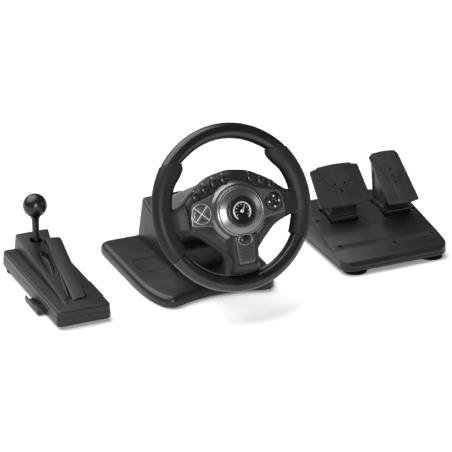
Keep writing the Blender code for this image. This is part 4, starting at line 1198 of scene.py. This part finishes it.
# Each tread's outline, and where its three screws are.
TREADS = {
    "brake": ([(-9.5, -2.3), (9.5, -2.3), (10.5, 34), (25, 47), (34, 74.4), (0, 76.2), (-34, 74.4), (-25, 47),
               (-10.5, 34)], ((-9.5, 38.5), (9.5, 38.5), (0.0, 24.5))),
    "gas": ([(-8, -2.3), (8, -2.3), (8.5, 44), (15, 60), (24.5, 103), (0, 105), (-24.5, 103), (-15, 60),
             (-8.5, 44)], ((0.5, 67.0), (0.5, 53.5), (0.5, 39.5))),
}


def make_pad(name, x, half, ends, body):
    """A moulded pad with a raised funnel-shaped tread and three screws, bent slightly across."""
    low, high = Vector(ends[0]), Vector(ends[1])
    along = (high - low).normalized()
    length = (high - low).length
    where = PEDALS @ Matrix(((1, 0, 0, x), (0, along.x, -along.y, low.x), (0, along.y, along.x, low.y),
                             (0, 0, 0, 1)))
    edge = curve_through([(-half, 0.6), (-half * 0.5, -2.0), (0, -3.0), (half * 0.5, -2.0), (half, 0.6)], 5)
    top = curve_through([(half * 0.94, length - 0.6), (half * 0.5, length + 2.8), (0, length + 4.0),
                         (-half * 0.5, length + 2.8), (-half * 0.94, length - 0.6)], 5)
    plate = slab(dense(soften_turn(dense(edge + top, 3.0)), 3.0), 0.4, 4.0, 0.9, True)
    tread, spots = TREADS[name]
    tread = slab(dense(soften(tread, 5.0), 3.0), 1.2, 5.6, 1.2, True)
    holes = [lathe([(0, -3), (2.3, -3), (2.3, 4.2), (3.3, 5.2), (3.3, 9), (0, 9)], 32, (u, v, 0))
             for u, v in spots]
    made = boolean(boolean(plate, [tread], "UNION"), holes)
    for v in made.verts:
        v.co.z -= PAD_BEND * v.co.x ** 2
    piece(name + "_pad_plate", made, where, "dark", body, [name + "_pad"], 32)
    heads = screws(2.1, [(u, v, 2.2 - PAD_BEND * u * u) for u, v in spots], False, 0.9)
    piece(name + "_pad_screws", heads, where, "gloss", body, sharp=30)


# Shifter unit

LEVER = (49.5, 229.0)
PIVOT_Z = 33.0
DISH_DEPTH = 9.0
WEDGE_SLOPE = 0.115
KNOB_R = 20.2
KNOB_Z = 84.5


def wedge_top(x, y):
    return 31.0 + WEDGE_SLOPE * (y - 24)


def rail_top(x, y):
    return 33.5 + 0.142 * (y - 31)


def raised(low_shape, high_shape, top, radius, steps=5):
    """A solid on the cover whose walls lean from one outline to another, under a rounded top edge."""
    rings = [level(low_shape, 28.0)]
    for k in range(steps + 1):
        a = math.pi / 2 * k / steps
        rings.append(draped(inset(high_shape, radius * (1 - math.cos(a))), top, -radius * (1 - math.sin(a))))
    return skin(rings)


def make_shifter():
    plan = rounded(0, 0, 93, 264, 8, 10)
    lower = shell_of(plan, ((0.9, 19.7), (0.55, 18.6), (0.2, 9.0), (0.3, 7.0), (1.0, 5.6), (2.4, 5.0)))
    ears = [crate((LEVER[0] + s * 11 - 1.8, 223, 6), (LEVER[0] + s * 11 + 1.8, 235, 38)) for s in (-1, 1)]
    lower = boolean(boolean(lower, ears, "UNION"),
                    [rod(2.65, 30, 70, (LEVER[1], PIVOT_Z), axis="X"),
                     rod(3.4, 250, 275, (70.0, 13.0), axis="Y")])
    piece("shifter_lower_shell", lower, SHIFTER, "black", "shifter_unit", ["shifter_base"], 32)

    cover = stacked(plan, ((1.0, 20.0), (1.15, 27.6), (1.5, 28.9), (2.2, 30.0), (3.3, 30.75), (4.8, 31.0)))
    wedge = raised(even([(20, 20), (32, 25), (86, 261), (21, 261)], 3.0),
                   even([(21.5, 24), (30, 28), (82, 259), (23, 259)], 3.0), wedge_top, 1.6)
    rail = raised(even([(36, 28), (66.5, 33), (91.5, 218), (60, 226)], 4.0),
                  even([(38, 31), (64, 36), (88.5, 216), (61, 223)], 4.0), rail_top, 2.6)
    cover = boolean(cover, [wedge, rail], "UNION")
    cuts = [prism(inset(plan, 4.4), 10, 27.6)]
    for room, roof, drop in (([(25, 60), (35, 60), (58, 196), (25, 196)], wedge_top, DISH_DEPTH + 3.4),
                             ([(44, 50), (62, 50), (85, 212), (65, 215)], rail_top, 3.4),
                             ([(27, 195), (64, 195), (76, 254), (27, 254)], wedge_top, 4.0)):
        cuts.append(skin([level(room, 10), draped(room, roof, -drop)]))
    dish = resample(soften([(33, 117), (38, 112), (44, 125), (49, 150), (52.5, 175), (50, 190), (43, 197),
                            (37, 191), (33, 165), (31, 140)], 5.0), 72)
    bowl = skin([draped(inset(dish, d), wedge_top, lift)
                 for d, lift in ((4.6, -DISH_DEPTH), (3.2, -8.5), (1.9, -7.0), (1.0, -4.2), (0.35, -1.4),
                                 (0.0, 0.2), (-1.2, 12))])
    cover = boolean(cover, cuts + [bowl, rod(11.0, 10, 90, LEVER, 72)])
    piece("shifter_top_cover", cover, SHIFTER, "black", "shifter_unit", ["shifter_cover"], 32)

    path = curve_through([(57, 214), (56.5, 192), (54, 160), (49, 125), (43.5, 92), (38.5, 64), (35.5, 44)],
                         8)
    ribs = [ridge([(x, y, wedge_top(x, y) + 0.8 + 2.0 * ease((214 - y) / 40) * ease((y - 40) / 60))
                   for x, y in path], 1.8, 1.5, -6.0, 9)]
    edge = curve_through([(27.5, 205), (27, 165), (26.5, 120), (26.5, 80), (27, 40)], 8)
    ribs.append(ridge(draped(edge, wedge_top, -0.2), 0.9, 1.1, -1.5, 7))
    for start, end in (((5.5, 252), (12.0, 16)), ((10.0, 254), (15.0, 17)), ((14.5, 255), (18.0, 18))):
        line = [(start[0] + (end[0] - start[0]) * k / 24, start[1] + (end[1] - start[1]) * k / 24)
                for k in range(25)]
        ribs.append(ridge(level(line, 30.8), 1.1, 1.2, -1.0, 7))
    piece("shifter_cover_ribs", join(*ribs), SHIFTER, "black", "shifter_unit", sharp=50)
    slope = shift(*LEVER, wedge_top(*LEVER)) @ Matrix.Rotation(math.atan(WEDGE_SLOPE), 4, "X")
    ring = lathe([(13.4, -0.4), (13.3, 0.4), (12.8, 0.8), (11.9, 0.8), (11.2, 0.4), (11.1, -0.4)], 96)
    piece("lever_hole_ring", moved(ring, slope), SHIFTER, "dark", "shifter_unit", sharp=40)

    lever = shift(*LEVER, PIVOT_Z)
    stem = lathe([(0, 71), (8.6, 71), (9, 70.4), (9, 67.0), (8.6, 65.2), (7.6, 62.6), (6.6, 59.6),
                  (6.1, 55.0), (5.9, 40.0), (5.8, 13.0), (6.6, 10.6), (8.0, 9.4), (8.5, 8.8), (8.5, -8.4),
                  (7.9, -9.0), (0, -9.0)], 64)
    stem = boolean(stem, [rod(2.65, -20, 20, axis="X")])
    piece("shifter_stem_turned", moved(stem, lever), SHIFTER, "gloss", "shift_lever", ["shifter_stem"], 35)
    turns = [math.radians(a) for a in range(4, 152, 4)]
    ball = [(0.0, KNOB_Z + KNOB_R)] + [(KNOB_R * math.sin(a), KNOB_Z + KNOB_R * math.cos(a)) for a in turns]
    ball += [(9.7, 66.6), (9.4, 66.2), (9.3, 66.8), (9.3, 71.3), (0, 71.3)]
    piece("shifter_ball", moved(lathe(ball), lever), SHIFTER, "gloss", "shift_lever", ["shifter_knob"], 50)

    bar = soften([(-11, 2.4), (103, 2.4), (103, 16), (100.6, 16), (100.6, 4.7), (-8.6, 4.7), (-8.6, 12),
                  (-11, 12)], 0.5)
    plate = skin([[(x, y, z) for x, z in bar] for y in (62.0, 122.0)])
    slots = [prism(rounded(x - 3, 80, x + 3, 104, 2.9, 6), 0, 8) for x in (-4.5, 97.0)]
    piece("shifter_clamp_plate", boolean(beveled(plate, 0.35, 2), slots), SHIFTER, "dark", "shifter_unit",
          ["shifter_clamp_bracket"], 32)
    cups("shifter", SHIFTER, ((18, 240), (73, 240), (46.5, 30)), 4.7, 17.0, "shifter_unit")


def even(corners, radius):
    return resample(dense(soften(corners, radius), 6.0), 96)


def resample(outline, count):
    """A closed outline as a set number of evenly spaced points."""
    lengths = [0.0]
    for i, p in enumerate(outline):
        lengths.append(lengths[-1] + math.dist(p, outline[(i + 1) % len(outline)]))
    loop = list(outline) + [outline[0]]
    spots = [lengths[-1] * k / count for k in range(count)]
    xs = np.interp(spots, lengths, [p[0] for p in loop])
    ys = np.interp(spots, lengths, [p[1] for p in loop])
    return list(zip(xs.tolist(), ys.tolist()))


# Studio

WHITE_LIGHT = (1.0, 1.0, 1.0, 1.0)
SKY_STRENGTH = 0.1
SUN_SPREAD = math.radians(72)
LENS = 211.7
VIEW_BACK = Vector((-0.37198, -0.83228, 0.41103))
VIEW_TARGET = Vector((-0.02585, -0.01873, 0.100))
VIEW_FAR = 4.353


def make_studio():
    floor_mesh = bpy.data.meshes.new("floor")
    bm = bmesh.new()
    bmesh.ops.create_grid(bm, x_segments=8, y_segments=8, size=9.0)
    bm.to_mesh(floor_mesh)
    bm.free()
    floor = bpy.data.objects.new("floor", floor_mesh)
    floor.location = (0, 0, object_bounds()[0].z)
    bpy.context.scene.collection.objects.link(floor)
    t = Tree("pale_floor")
    shade = t.cloud(1.5, 3.0, 0.3, 0.7)
    t.set(Base_Color=t.mix(shade, (0.93, 0.93, 0.93), (0.95, 0.95, 0.95)), Roughness=0.9,
          Specular_IOR_Level=0.1)
    floor_mesh.materials.append(t.mat)

    world = bpy.data.worlds.new("studio")
    world.use_nodes = True
    sky = world.node_tree.nodes["Background"]
    sky.inputs["Color"].default_value = WHITE_LIGHT
    sky.inputs["Strength"].default_value = SKY_STRENGTH
    bpy.context.scene.world = world
    bpy.context.scene.view_settings.view_transform = "Standard"

    sun = light("overhead_sun", "SUN", 4.6, (-0.8, 1.0, 2.4))
    sun.data.angle = SUN_SPREAD
    light("key_softbox", "AREA", 42.0, (-0.75, -2.2, 1.0), 0.6)
    light("fill_softbox", "AREA", 6.0, (1.9, -1.2, 1.0), 0.7)
    light("back_softbox", "AREA", 4.0, (-0.3, 2.0, 1.6), 1.2)

    camera = bpy.data.objects.new("camera", bpy.data.cameras.new("camera"))
    bpy.context.scene.collection.objects.link(camera)
    bpy.context.scene.camera = camera
    camera.data.lens = LENS
    camera.data.sensor_width = 36.0
    camera.data.clip_start = 0.1
    camera.data.clip_end = 50.0
    camera.location = VIEW_TARGET + VIEW_BACK * VIEW_FAR
    camera.rotation_mode = "QUATERNION"
    camera.rotation_quaternion = (-VIEW_BACK).to_track_quat("-Z", "Y")


def light(name, kind, power, place, size=1.0):
    data = bpy.data.lights.new(name, kind)
    data.energy = power
    if kind == "AREA":
        data.shape = "RECTANGLE"
        data.size = size
        data.size_y = size * 0.8
    made = bpy.data.objects.new(name, data)
    made.location = place
    made.rotation_mode = "QUATERNION"
    made.rotation_quaternion = (Vector((0, 0, 0.1)) - Vector(place)).to_track_quat("-Z", "Y")
    bpy.context.scene.collection.objects.link(made)
    return made


make_base()
make_rim()
make_hub_back()
shell = make_hub_front()
make_wings()
make_drum()
make_emblem()
make_trim()
make_buttons(shell)
make_paddles()
make_pedals()
make_shifter()
make_studio()
